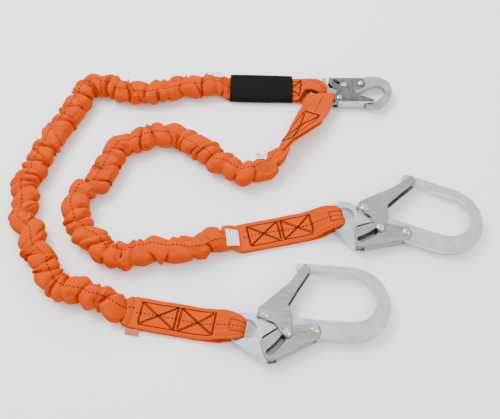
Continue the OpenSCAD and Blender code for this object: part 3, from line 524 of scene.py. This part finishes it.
def gathered_jacket(name, rows, seed, spacing, slant, sway_size):
    """Tubular webbing bunched over its core, laid along the leg. Returns the object, the
    surface grid, the outward normals, the line along the middle and its lengths."""
    rng = np.random.default_rng(seed + 100)
    dense, path_s = resample(smooth_curve(rows, 12), 2.0)
    dense[:, :3] += SHIFT
    length = path_s[-1]
    cloth = gathered_cloth(length, seed, spacing, slant, 30)
    cloth = finer(cloth, 2, False)
    cloth = finer(cloth.transpose(1, 0, 2), 2, True).transpose(1, 0, 2)
    n, m = cloth.shape[:2]
    fade = np.clip(np.minimum(path_s / 40, (length - path_s) / 40), 0, 1)
    fade = fade * fade * (3 - 2 * fade)
    heading = tangents(dense[:, :3] * [1, 1, 0])
    across = np.stack([-heading[:, 1], heading[:, 0], 0 * path_s], 1)
    sway = (sway_size * soft_noise(path_s, 27, rng) + 0.4 * sway_size * soft_noise(path_s, 14, rng)) * fade
    middle = dense[:, :3] + across * sway[:, None]
    tilt = np.radians(dense[:, 5])[:, None]
    wide = across * np.cos(tilt) + np.array([0, 0, 1.0]) * np.sin(tilt)
    high = np.array([0, 0, 1.0]) * np.cos(tilt) - across * np.sin(tilt)
    x = np.clip(cloth[..., 0], 0, length)

    def at(values):
        return np.stack([np.interp(x, path_s, values[:, k]) for k in range(values.shape[1])], -1)

    size = at(dense[:, 3:5]) / [21.0, 17.0]
    grid = at(middle) + at(wide) * (cloth[..., 1] * size[..., 0])[..., None]
    grid += at(high) * ((cloth[..., 2] - 17.5) * size[..., 1])[..., None]
    low = grid[..., 2] < 2.5
    grid[..., 2] = np.where(low, 0.35 + 2.15 * np.exp((grid[..., 2] - 2.5) / 2.15), grid[..., 2])
    du = np.gradient(grid, axis=0)
    dv = np.roll(grid, -1, axis=1) - np.roll(grid, 1, axis=1)
    normals = unit(np.cross(dv, du))
    if np.mean(normals[:, m // 4, 2]) < 0:
        normals = -normals
    # Painted shade in the creases: how far each place lies below its neighbourhood darkens the webbing colour
    # there
    around = grid.copy()
    for _ in range(5):
        around = (around + np.roll(around, 1, 1) + np.roll(around, -1, 1)
                  + np.vstack([around[:1], around[:-1]]) + np.vstack([around[1:], around[-1:]])) / 5
    crease_shade = np.clip(np.sum((around - grid) * normals, -1) * 0.75, 0, 1)
    s_woven = np.arange(n) * STEP / 2
    uv = np.stack(np.meshgrid(s_woven, np.arange(m) * STEP / 2, indexing="ij"), -1).reshape(-1, 2)
    verts = np.vstack([grid.reshape(-1, 3), grid[0].mean(0)[None], grid[-1].mean(0)[None]])
    faces = grid_faces(n, m)
    faces += [(n * m, (k + 1) % m, k) for k in range(m)]
    faces += [(n * m + 1, (n - 1) * m + k, (n - 1) * m + (k + 1) % m) for k in range(m)]
    crease_shades = np.concatenate([crease_shade.reshape(-1), [0, 0]])
    uv = np.vstack([uv, uv[0], uv[-1]])
    obj = make_mesh(name, verts, faces, uv, crease_shades)
    return obj, grid, normals, middle, s_woven


def tracer_runs(grid, normals, s, seed):
    """Dashes of the tracer thread, woven in along one line of the tube."""
    rng = np.random.default_rng(seed)
    m = grid.shape[1]
    v = (0.25 + 0.05 * soft_noise(s, 150, rng)) * m
    j = np.floor(v).astype(int) % m
    t = (v - np.floor(v))[:, None]
    i = np.arange(len(s))
    line = grid[i, j] * (1 - t) + grid[i, (j + 1) % m] * t
    norm = unit(normals[i, j] * (1 - t) + normals[i, (j + 1) % m] * t)
    return dashes(line + norm * 0.1, norm, 3.0, 2.9, 3.0)


def close_bunches(share):
    """Least and most between the creases of leg 1."""
    return (9, 23)


def close_then_long(share):
    """The same for leg 2, with longer puffs before hook 2."""
    return (24, 34) if share > 0.8 else (9, 24)


legs = []
for index, (rows, seed, spacing, slant, sway_size) in enumerate((
        (LEG_1, 21, close_bunches, 12, 6.5), (LEG_2, 34, close_then_long, 12, 6.5)), 1):
    jacket, grid, normals, middle, s = gathered_jacket(
        f"leg_{index}_gathered_jacket", rows, seed, spacing, slant, sway_size)
    finish_piece(jacket, mat_jacket, "webbing", f"leg_{index}_jacket", f"leg_{index}_elastic_core")
    tracer = thread_mesh(f"leg_{index}_tracer", tracer_runs(grid, normals, s, seed + 5), 1.45, 0.5)
    finish_piece(tracer, mat_thread, "thread")
    path = middle[::3] * MM
    path = np.vstack([path, middle[-1:] * MM]) if (len(middle) - 1) % 3 else path
    legs.append((jacket, grid, normals, s))


# ---- Flat webbing ----
class Ribbon:
    """Webbing strip through stations [x, y, z, ax, ay, az, thickness, crown, pleat]:
    the a vector runs from the middle to the right-hand edge."""

    def __init__(self, stations, seed, offset=0.0, across=26, waves=2.5, width_scale=1.0, step=1.6,
                 thick=None, wobble=0.35):
        rng = np.random.default_rng(seed)
        rows, self.s = resample(smooth_curve(stations, 10), step)
        self.c = rows[:, :3]
        self.a = rows[:, 3:6] * width_scale
        self.th = rows[:, 6] if thick is None else np.full(len(rows), float(thick))
        self.crown, self.pleat = rows[:, 7], rows[:, 8]
        t = tangents(self.c)
        self.n = unit(np.cross(self.a, t))
        self.t = t
        self.offset = offset
        self.waves = waves
        self.edge = [1 + 0.016 * soft_noise(self.s, 19, rng) for _ in range(2)]
        self.lift = wobble * soft_noise(self.s, 16, rng)
        self.phase = rng.uniform(0, 6.28)
        self.u = np.sin(np.linspace(-1, 1, across + 1) * math.pi / 2)

    def shape(self, i, u):
        """Point on the middle layer and its normal offset, at row i and place u across."""
        edge = np.where(u < 0, self.edge[0][i], self.edge[1][i])
        swell = self.crown[i] * (1 - u * u)
        pleat = self.pleat[i] * (0.5 + 0.5 * np.cos(self.waves * 2 * math.pi * u + self.phase))
        rise = self.offset + swell + pleat + self.lift[i] * u * u
        return self.c[i] + self.a[i] * (u * edge) + self.n[i] * rise, pleat

    def build(self, name):
        count = len(self.s)
        rings, uvs, crease_shades = [], [], []
        for i in range(count):
            top, bottom, uv_t, pleat_shade = [], [], [], []
            wide = np.linalg.norm(self.a[i])
            for u in self.u:
                p, pleat = self.shape(i, u)
                half = self.th[i] / 2 * math.sqrt(max(0.0, 1 - abs(u) ** 9)) + 0.02
                top.append(p + self.n[i] * half)
                bottom.append(p - self.n[i] * half)
                uv_t.append((self.s[i], u * wide))
                # Painted shade in the pleat troughs, and darker towards the edges
                pleat_shade.append(min(1.0, (self.pleat[i] - pleat) * 0.5 + 0.25 * abs(u) ** 12))
            rings += top + bottom[::-1]
            uvs += uv_t + uv_t[::-1]
            crease_shades += pleat_shade + pleat_shade[::-1]
        cols = 2 * len(self.u)
        faces = grid_faces(count, cols, 0, True)
        faces.append(tuple(range(cols)))
        faces.append(tuple((count - 1) * cols + k for k in range(cols))[::-1])
        return make_mesh(name, rings, faces, uvs, crease_shades)

    def at(self, s, side):
        """Point and normal on the top face: s mm along the middle, side mm towards the right."""
        f = float(np.clip(np.interp(s, self.s, np.arange(len(self.s))), 0, len(self.s) - 1.001))
        i = int(f)
        t = f - i
        out = []
        for k in (i, i + 1):
            u = side / np.linalg.norm(self.a[k])
            p, _ = self.shape(k, u)
            out.append(p + self.n[k] * (self.th[k] / 2 + 0.05))
        return out[0] * (1 - t) + out[1] * t, self.n[i]

    def line(self, points):
        """Path on the top face through (s, side) points."""
        out, norms = [], []
        for (s0, y0), (s1, y1) in zip(points, points[1:]):
            steps = max(2, int(math.hypot(s1 - s0, y1 - y0) / 1.2))
            for k in range(steps):
                p, n = self.at(s0 + (s1 - s0) * k / steps, y0 + (y1 - y0) * k / steps)
                out.append(p)
                norms.append(n)
        p, n = self.at(*points[-1])
        return np.array(out + [p]), np.array(norms + [n])


def double(points, gap=1.7):
    """The same path twice, side by side."""
    (s0, y0), (s1, y1) = points
    d = math.hypot(s1 - s0, y1 - y0)
    dx, dy = -(y1 - y0) / d * gap / 2, (s1 - s0) / d * gap / 2
    return [[(s0 + dx, y0 + dy), (s1 + dx, y1 + dy)], [(s0 - dx, y0 - dy), (s1 - dx, y1 - dy)]]


DASH, DASH_GAP = 3.0, 0.45       # box stitching
TRACER_GAP = 2.7                 # between the stitches of the tracer thread
BOX_GAP = 2.6                    # half the space between two boxes
SHAKE = 0.5                      # how far a row of stitches strays
TAIL = 7                         # strap inside the jacket's end, past its measured length


def box_stitching(ribbon, near, far, half, divided=True):
    """Box and cross stitching in double rows between two places along a ribbon."""
    runs = []
    middle = (near + far) / 2
    lines = [[(near, -half), (far, -half)], [(near, half), (far, half)]]
    lines += double([(near, -half), (near, half)]) + double([(far, -half), (far, half)])
    spans = [(near, middle - BOX_GAP), (middle + BOX_GAP, far)] if divided else [(near, far)]
    if divided:
        lines += double([(middle - BOX_GAP, -half), (middle - BOX_GAP, half)])
        lines += double([(middle + BOX_GAP, -half), (middle + BOX_GAP, half)])
    for a, b in spans:
        lines += double([(a, -half), (b, half)]) + double([(a, half), (b, -half)])
    for path in lines:
        shaken = [(s + RNG.uniform(-SHAKE, SHAKE), y + RNG.uniform(-SHAKE, SHAKE)) for s, y in path]
        points, norms = ribbon.line(shaken)
        runs += dashes(points, norms, DASH, DASH_GAP, RNG.uniform(0, 1))
    return runs


def frame_at(place, turn):
    a = math.radians(turn)
    along = np.array([math.cos(a), math.sin(a), 0])
    return np.array([place[0], place[1], 0.0]) + SHIFT, along, np.array([-along[1], along[0], 0])


def hook_strap(name, place, turn, length, seed, stitch):
    """Flat doubled webbing from a leg to a large hook's eye, round it and back."""
    origin, along, left = frame_at(place, turn)
    mid = place[2]

    def st(d, z, half, th, crown=0.0, pleat=0.0):
        return [*(origin + along * d + np.array([0, 0, z])), *(left * half), th, crown, pleat]

    # Travel runs from the leg to the eye, so the right-hand edge lies along left
    rows = [
        st(length + TAIL, 5.9, 23, 3.6), st(length, 6.7, 23.9, 4.2), st(135, 6.8, 24, 4.2),
        st(110, 6.8, 24, 4.2), st(85, 6.8, 24, 4.2), st(66, 6.9, 24, 4.2, 0.2),
        st(54, 9.3, 23.8, 3.8, 0.8, 0.3), st(44, 13.8, 23, 3.3, 1.2, 0.9),
        st(34, mid + 6.6, 22.3, 3.0, 1.0, 1.0), st(26, mid + 8.6, 21.2, 2.8, 1.0, 1.2),
        st(18, mid + 9.2, 19.6, 2.7, 0.9, 1.3), st(11, mid + 9.0, 17.6, 2.6, 0.7, 1.2),
        st(5.6, mid + 7.4, 14.6, 2.5, 0.4, 0.8), st(2.8, mid + 4.2, 11.4, 2.4, 0, 0.4),
        st(2.6, mid, 10.6, 2.4), st(4.4, mid - 4.2, 11, 2.4), st(9, mid - 7.3, 13, 2.5, 0.2, 0.4),
        st(17, mid - 8.3, 16.5, 2.6, 0.2, 0.8),
        st(27, mid - 8.2, 19.5, 2.6, 0.2, 0.8), st(36, 3.4, 22, 3.0, 0.2, 0.5), st(48, 2.4, 23.6, 3.8),
        st(64, 2.3, 24, 4.1), st(90, 2.3, 24, 4.1), st(125, 2.3, 24, 4.1), st(length, 2.3, 23.8, 4.1),
        st(length + TAIL, 2.6, 23, 3.6),
    ]
    strap = Ribbon(rows, seed)
    finish_piece(strap.build(f"{name}_sewn_strap"), mat_strap, "webbing", f"{name}_strap")
    pad = Ribbon(rows[9:20], seed + 1, offset=-1.9, width_scale=0.9, thick=1.1, wobble=0.0)
    pad.pleat *= 0.0
    finish_piece(pad.build(f"{name}_eye_pad"), mat_pad, "wear_pad", f"{name}_wear_pad")
    zero = length + TAIL
    near, far = stitch
    runs = box_stitching(strap, zero - far, zero - near, 17)
    # Seam of the wear pad, and the tracer thread along the middle
    for path in ([(zero - 21, -8), (zero - 21, 8)], [(zero - 21, 8), (zero + 1, 7)],
                 [(zero - 21, -8), (zero + 1, -7)]):
        points, norms = strap.line(path)
        runs += dashes(points, norms, 2.3, 0.8)
    points, norms = strap.line([(9, 0.5), (40, -0.8), (80, 0.6), (zero - 30, 1.5), (zero + 1, 0)])
    runs += dashes(points, norms, DASH, TRACER_GAP)
    finish_piece(thread_mesh(f"{name}_threads", runs), mat_thread, "thread", f"{name}_stitching")


hook_strap("leg_1_hook", (5, -207, 12.5), 170, 162, 41, (44, 154))
hook_strap("leg_2_hook", (155, -25.5, 12.5), 192, 160, 52, (50, 150))

# Snap hook straps: stations from the snap eye, heights from the floor
EYE = np.array([131.5, 208.5, 0]) + SHIFT


def from_eye(x, y, z, ax, ay, az, th, crown=0.0, pleat=0.0):
    return [x + EYE[0], y + EYE[1], z, ax, ay, az, th, crown, pleat]


snap_1_rows = [
    from_eye(-162, 25, 8.6, 0, -23, 0, 3.6), from_eye(-154, 24.8, 9.2, 0, -23.8, 0, 4.2),
    from_eye(-120, 23.8, 9.3, 0, -24, 0, 4.2), from_eye(-80, 22.6, 9.3, 0, -24, 0, 4.2),
    from_eye(-50, 21.6, 9.3, 0, -24, 0, 4.2), from_eye(-37, 21.5, 10.2, -1, -23, -1, 4.0, 0.6),
    from_eye(-28, 24, 13, -5, -17.5, -2, 3.6, 2.5), from_eye(-19, 27, 17, -8, -13, 0, 3.4, 3.0, 0.4),
    from_eye(-9, 23.5, 20, -9, -10.5, 0, 3.2, 2.6, 0.8), from_eye(0, 15.8, 21, -8.6, -7.6, 0, 3.0, 2.0, 1.0),
    from_eye(4.6, 9.5, 19.3, -6.8, -5, 0, 2.8, 0.8, 0.6), from_eye(3.4, 5.6, 15.6, -5, -2.4, 0, 2.5),
    from_eye(1.5, 4.5, 12, -5, -2, 0, 2.4), from_eye(-1, 6.5, 7, -5, -4, 0, 2.4),
    from_eye(-11, 13, 4.6, -6, -12, 0, 2.8), from_eye(-25, 18.3, 4.0, -2, -20, 0, 3.4),
    from_eye(-40, 21.2, 4.4, 0, -23, 0, 4.0), from_eye(-52, 21.6, 4.8, 0, -24, 0, 4.1),
    from_eye(-100, 23.2, 4.8, 0, -24, 0, 4.1), from_eye(-154, 24.8, 4.8, 0, -23.8, 0, 4.1),
    from_eye(-162, 25, 5.2, 0, -23, 0, 3.6),
]
snap_1 = Ribbon(snap_1_rows, 63)
finish_piece(snap_1.build("leg_1_snap_sewn_strap"), mat_strap, "webbing", "leg_1_snap_strap")
pad = Ribbon(snap_1_rows[8:15], 64, offset=-1.9, width_scale=0.86, thick=1.0, wobble=0.0)
pad.pleat *= 0.0
finish_piece(pad.build("leg_1_snap_eye_pad"), mat_pad, "wear_pad", "leg_1_snap_wear_pad")
runs = box_stitching(snap_1, 40, 129, 15)
points, norms = snap_1.line([(4, 0), (60, 1), (128, -3), (150, -4), (164, -2), (176, 0)])
runs += dashes(points, norms, DASH, TRACER_GAP)
finish_piece(thread_mesh("leg_1_snap_threads", runs), mat_thread, "thread", "leg_1_snap_stitching")


def tilted(x, y, z, tilt, half, th, heading=57.0, off=0.0, crown=0.0):
    """Station of the twisted strap, seen from the leg towards the eye."""
    a, t = math.radians(heading - 90), math.radians(tilt)
    right = np.array([math.cos(a), math.sin(a), 0])
    wide = right * math.cos(t) + np.array([0, 0, 1]) * math.sin(t)
    high = np.array([0, 0, 1]) * math.cos(t) - right * math.sin(t)
    p = np.array([x, y, z]) + high * off
    return from_eye(*p, *(wide * half), th, crown)


TWIST = [(-72.6, -117.2, 20, 58, 13), (-67.9, -110.1, 21, 56, 14), (-60.5, -98.5, 21.5, 52, 16),
         (-48, -83.5, 20.5, 42, 19), (-35, -65, 18.5, 27, 21.5), (-23, -48, 16.8, 12, 23)]
snap_2_rows = [tilted(x, y, z, tilt, half, 4.2, 57, 2.2) for x, y, z, tilt, half in TWIST]
snap_2_rows += [
    from_eye(-13, -31.5, 18.8, 22.5, -8, 1, 4.0, 0.4), from_eye(-6.5, -16, 22, 24, -3, 0, 3.8, 0.8),
    from_eye(-1.6, -3.5, 23.2, 24.3, 1.2, 0, 3.2, 0.5), from_eye(-0.8, 1.9, 21.6, 24.3, 2, 0, 2.6),
    from_eye(-1.2, -1.8, 20.2, 20, 2, 0, 2.4), from_eye(-2.8, -6, 17.2, 11, -2, 0, 2.4),
    from_eye(-3.6, -7.6, 13, 7, -3, 0, 2.4), from_eye(-4.8, -9.6, 7.4, 8, -4, 0, 2.4),
    from_eye(-11.5, -21, 4.8, 15, -8, 0, 2.8), from_eye(-18.5, -33, 7.6, 20, -11, 0, 3.4),
]
snap_2_rows += [tilted(x, y, z, tilt, half, 4.1, 57, -2.2) for x, y, z, tilt, half in TWIST[::-1]]
snap_2 = Ribbon(snap_2_rows, 75, waves=1.5)
finish_piece(snap_2.build("leg_2_snap_sewn_strap"), mat_strap, "webbing", "leg_2_snap_strap")
pad = Ribbon(snap_2_rows[9:16], 76, offset=-1.8, width_scale=0.86, thick=1.0, wobble=0.0)
finish_piece(pad.build("leg_2_snap_eye_pad"), mat_pad, "wear_pad", "leg_2_snap_wear_pad")
runs = box_stitching(snap_2, 24, 96, 14, False)
points, norms = snap_2.line([(5, 0), (60, 1), (100, 2), (132, 4)])
runs += dashes(points, norms, DASH, TRACER_GAP)
finish_piece(thread_mesh("leg_2_snap_threads", runs), mat_thread, "thread", "leg_2_snap_stitching")

# ---- Black cover sleeve ----
def cover_sleeve():
    rng = np.random.default_rng(5)
    length, half_w, half_h, wall = 108, 27.6, 7.6, 1.7
    a = math.radians(-1.5)
    along = np.array([math.cos(a), math.sin(a), 0])
    side = np.array([-along[1], along[0], 0])
    centre = np.array([29.6, 233.5, 7.65]) + SHIFT
    xs = np.concatenate([[-length / 2, -length / 2 + 0.5],
                         np.linspace(-length / 2 + 1.5, length / 2 - 1.5, 70),
                         [length / 2 - 0.5, length / 2]])
    around = 96
    theta = np.linspace(0, 2 * math.pi, around, endpoint=False)
    top_wave = soft_noise(xs + 60, 26, rng)
    low_wave = soft_noise(xs + 60, 31, rng)
    verts, uvs = [], []
    for skin, (dw, dh) in enumerate(((0, 0), (wall, wall))):
        order = range(len(xs)) if skin == 0 else range(len(xs) - 1, -1, -1)
        for i in order:
            end = min(1.0, (min(xs[i] + length / 2, length / 2 - xs[i]) + 0.35) / 1.5)
            soft = 0.7 * (1 - end) if skin == 0 else 0.0
            bulge = 0.5 * math.cos(math.pi * xs[i] / length)
            for th in theta:
                c, s = math.cos(th), math.sin(th)
                wave = top_wave[i] if c > 0 else low_wave[i]
                reach = half_w - dw - soft + 0.4 * wave + 0.9 * (bulge - 0.25)
                x = math.copysign(abs(c) ** 0.42, c) * reach
                z = math.copysign(abs(s) ** 0.5, s) * (half_h - dh - soft + (bulge * 0.5 if s > 0 else 0))
                p = centre + along * xs[i] + side * x + np.array([0, 0, z])
                p[2] = max(p[2], 0.05)
                verts.append(p)
                uvs.append((xs[i], th * 12))
    rows = 2 * len(xs)
    faces = grid_faces(rows, around, 0, True)
    last = (rows - 1) * around
    faces += [(last + k, k, (k + 1) % around, last + (k + 1) % around) for k in range(around)]
    return make_mesh("cover_sleeve_cloth", verts, faces, uvs)


finish_piece(cover_sleeve(), mat_sleeve, "sleeve", "cover_sleeve")


# ---- Labels ----
def label(name, corner, x_edge, y_edge, curl, mat, slot_name, node, seed, tops):
    """Thin sewn label: a corner, two edge vectors and how far its middle bows up. It rests on
    the tops, the highest points of the jacket under it."""
    rng = np.random.default_rng(seed)
    corner, x_edge, y_edge = (np.asarray(v, float) for v in (corner, x_edge, y_edge))
    n = unit(np.cross(x_edge, y_edge))
    steps = 16
    verts, uvs = [], []
    bumps = rng.uniform(-0.5, 0.5, 4)
    lift = np.zeros((steps + 1, steps + 1))
    flat = np.zeros((steps + 1, steps + 1, 3))
    for i in range(steps + 1):
        for j in range(steps + 1):
            u, v = i / steps, j / steps
            bow = curl * math.sin(math.pi * v) + bumps[0] * math.sin(math.pi * u) * 1.2
            bow += 0.5 * bumps[1] * math.sin(2 * math.pi * u + 3 * v)
            flat[i, j] = corner + SHIFT + x_edge * u + y_edge * v + n * bow
            near = tops[np.hypot(tops[:, 0] - flat[i, j, 0], tops[:, 1] - flat[i, j, 1]) < 2.2]
            if len(near) and corner[2] > 5:
                lift[i, j] = near[:, 2].max() + 0.5 - flat[i, j, 2]
    for _ in range(3):
        padded = np.pad(lift, 1, mode="edge")
        spread = (padded[2:, 1:-1] + padded[:-2, 1:-1] + padded[1:-1, 2:] + padded[1:-1, :-2]) / 4
        lift = np.maximum(lift, 0.5 * (lift + spread))
    flat[..., 2] += np.clip(lift, -6, 9)
    for skin in (0.0, 0.45):
        for i in range(steps + 1):
            for j in range(steps + 1):
                verts.append(flat[i, j] + n * skin)
                uvs.append((i / steps * 20, j / steps * 20))
    per = (steps + 1) ** 2
    faces = []
    w = steps + 1
    for i in range(steps):
        for j in range(steps):
            a = i * w + j
            faces.append((a, a + 1, a + w + 1, a + w))
            faces.append((per + a, per + a + w, per + a + w + 1, per + a + 1))
    rim = [i * w for i in range(w)] + [steps * w + j for j in range(1, w)]
    rim += [i * w + steps for i in range(steps - 1, -1, -1)] + list(range(steps - 1, 0, -1))
    for a, b in zip(rim, rim[1:] + rim[:1]):
        faces.append((a, b, per + b, per + a))
    obj = finish_piece(make_mesh(name, verts, faces, uvs), mat, slot_name, node)
    return obj, (float(np.linalg.norm(x_edge)) * MM, float(np.linalg.norm(y_edge)) * MM)


def turned(v, rx, ry, rz):
    rx, ry, rz = (math.radians(a) for a in (rx, ry, rz))
    x, y, z = v
    y, z = y * math.cos(rx) - z * math.sin(rx), y * math.sin(rx) + z * math.cos(rx)
    x, z = x * math.cos(ry) + z * math.sin(ry), -x * math.sin(ry) + z * math.cos(ry)
    x, y = x * math.cos(rz) - y * math.sin(rz), x * math.sin(rz) + y * math.cos(rz)
    return np.array([x, y, z])


# The hook label of leg 1 lies under its strap: its salmon colour is a white label with painted orange bounce
# light and shade
for name, corner, size, turn, curl, mat, slot_name in (
        ("leg_1_hook_label", (-167, -210, 0.9), (20, 12), (60, 0, -8), 0.8, mat_label_orange_bounce, "warm_label"),
        ("leg_1_snap_label", (-62, 242, 33.2), (24, 16), (-33, 0, 0), 1.6, mat_label, "label"),
        ("leg_2_hook_label", (-24, -79.5, 27.2), (24, 28), (10, 38, 14), 0.8, mat_label, "label"),
        ("leg_2_snap_label", (18, 70.5, 36.6), (18, 14), (-28, 0, -10), 1.2, mat_label, "label")):
    obj, flat = label(name + "_cloth", corner, turned((size[0], 0, 0), *turn), turned((0, size[1], 0), *turn),
                      curl, mat, slot_name, name, len(name) + size[0],
                      legs[int(name[4]) - 1][1].reshape(-1, 3))

# ---- Metal parts: the CAD nodes with their own metal colours, painted highlight on the snap plates' sideways faces and painted shade on bevelled edges ----
FINISH_AND_SIDE_HIGHLIGHT = {
    "hook_1_body": mat_zinc, "hook_2_body": mat_zinc, "snap_body": mat_snap,
    "snap_gate": mat_snap_plate, "snap_lock_lever": mat_snap_plate,
}
for node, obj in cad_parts.items():
    if node in FINISH_AND_SIDE_HIGHLIGHT:
        mat = FINISH_AND_SIDE_HIGHLIGHT[node]
    elif node.endswith("_gate") or node.endswith("lock_lever"):
        mat = mat_gate
    elif node.endswith("spring"):
        mat = mat_wire
    elif node.endswith("spacer"):
        mat = mat_washer
    elif node.endswith("pivot") or node.endswith("pin"):
        mat = mat_rivet
    elif node.endswith("core"):
        mat = mat_elastic
    else:
        mat = mat_strap
    obj.data.materials.clear()
    obj.data.materials.append(mat)
    if node.endswith(("_body", "_gate", "_lock_lever", "_pivot", "_pin")) and not obj.hide_render:
        weld = obj.modifiers.new("join", "WELD")
        weld.merge_threshold = 0.00001
        bevel = obj.modifiers.new("edge", "BEVEL")
        bevel.width = 0.001 if node.endswith("_body") else 0.0006
        bevel.segments = 2
        bevel.limit_method = "ANGLE"
        bevel.angle_limit = math.radians(50)
        bevel.harden_normals = True
        if not node.endswith(("_pivot", "_pin")):
            # The bevelled edges take the darker material: painted shade and dark reflection along them
            obj.data.materials.append(mat_body_edge_shade if node.endswith("_body") else mat_plate_edge_shade)
            bevel.material = 1

# ---- Floor, light and backdrop ----
floor_mesh = bpy.data.meshes.new("floor")
FLOOR_HALF, FLOOR_Z = 6, -0.0003
floor_mesh.from_pydata([(-FLOOR_HALF, -FLOOR_HALF, FLOOR_Z), (FLOOR_HALF, -FLOOR_HALF, FLOOR_Z),
                        (FLOOR_HALF, FLOOR_HALF, FLOOR_Z), (-FLOOR_HALF, FLOOR_HALF, FLOOR_Z)],
                       [], [(0, 1, 2, 3)])
floor = bpy.data.objects.new("floor", floor_mesh)
bpy.context.scene.collection.objects.link(floor)
floor_mat, nodes, links, bsdf = new_material("pale_floor")
noise = nodes.new("ShaderNodeTexNoise")
set_in(noise, Scale=3.0)
ramp = nodes.new("ShaderNodeValToRGB")
ramp.color_ramp.elements[0].color = rgb(0.93, 0.93, 0.93)
ramp.color_ramp.elements[1].color = rgb(0.95, 0.95, 0.95)
links.new(noise.outputs["Fac"], ramp.inputs["Fac"])
links.new(ramp.outputs["Color"], bsdf.inputs["Base Color"])
set_in(bsdf, Roughness=0.9)
floor.data.materials.append(floor_mat)


def area_light(name, place, aim, size, power, color=(1, 1, 1)):
    data = bpy.data.lights.new(name, "AREA")
    data.shape = "RECTANGLE"
    data.size, data.size_y = size
    data.energy = power
    data.color = color
    light = bpy.data.objects.new(name, data)
    bpy.context.scene.collection.objects.link(light)
    light.location = place
    direction = np.array(aim, float) - np.array(place, float)
    light.rotation_euler = (
        math.atan2(math.hypot(direction[0], direction[1]), -direction[2]), 0,
        math.atan2(direction[1], direction[0]) - math.pi / 2)
    return light


key = area_light("key", (-0.9, 0.7, 1.5), (0, 0, 0), (1.2, 0.9), 44)
fill = area_light("fill", (1.2, -0.9, 1.3), (0, 0, 0), (1.4, 1.2), 16)
back = area_light("back", (0.2, 1.6, 0.9), (0, 0, 0), (1.6, 0.5), 14)
world = bpy.data.worlds.new("world")
bpy.context.scene.world = world
world.use_nodes = True
sky = world.node_tree.nodes
sky_links = world.node_tree.links
sky_coords = sky.new("ShaderNodeTexCoord")
sky_split = sky.new("ShaderNodeSeparateXYZ")
sky_ramp = sky.new("ShaderNodeValToRGB")
sky_ramp.color_ramp.elements[0].position = 0.05
sky_ramp.color_ramp.elements[0].color = rgb(0.35, 0.36, 0.38)
sky_ramp.color_ramp.elements[1].position = 0.75
sky_ramp.color_ramp.elements[1].color = rgb(1, 1, 1)
sky_links.new(sky_coords.outputs["Generated"], sky_split.inputs[0])
sky_links.new(sky_split.outputs["Z"], sky_ramp.inputs["Fac"])
sky_links.new(sky_ramp.outputs["Color"], sky["Background"].inputs["Color"])
sky["Background"].inputs["Strength"].default_value = 1.5
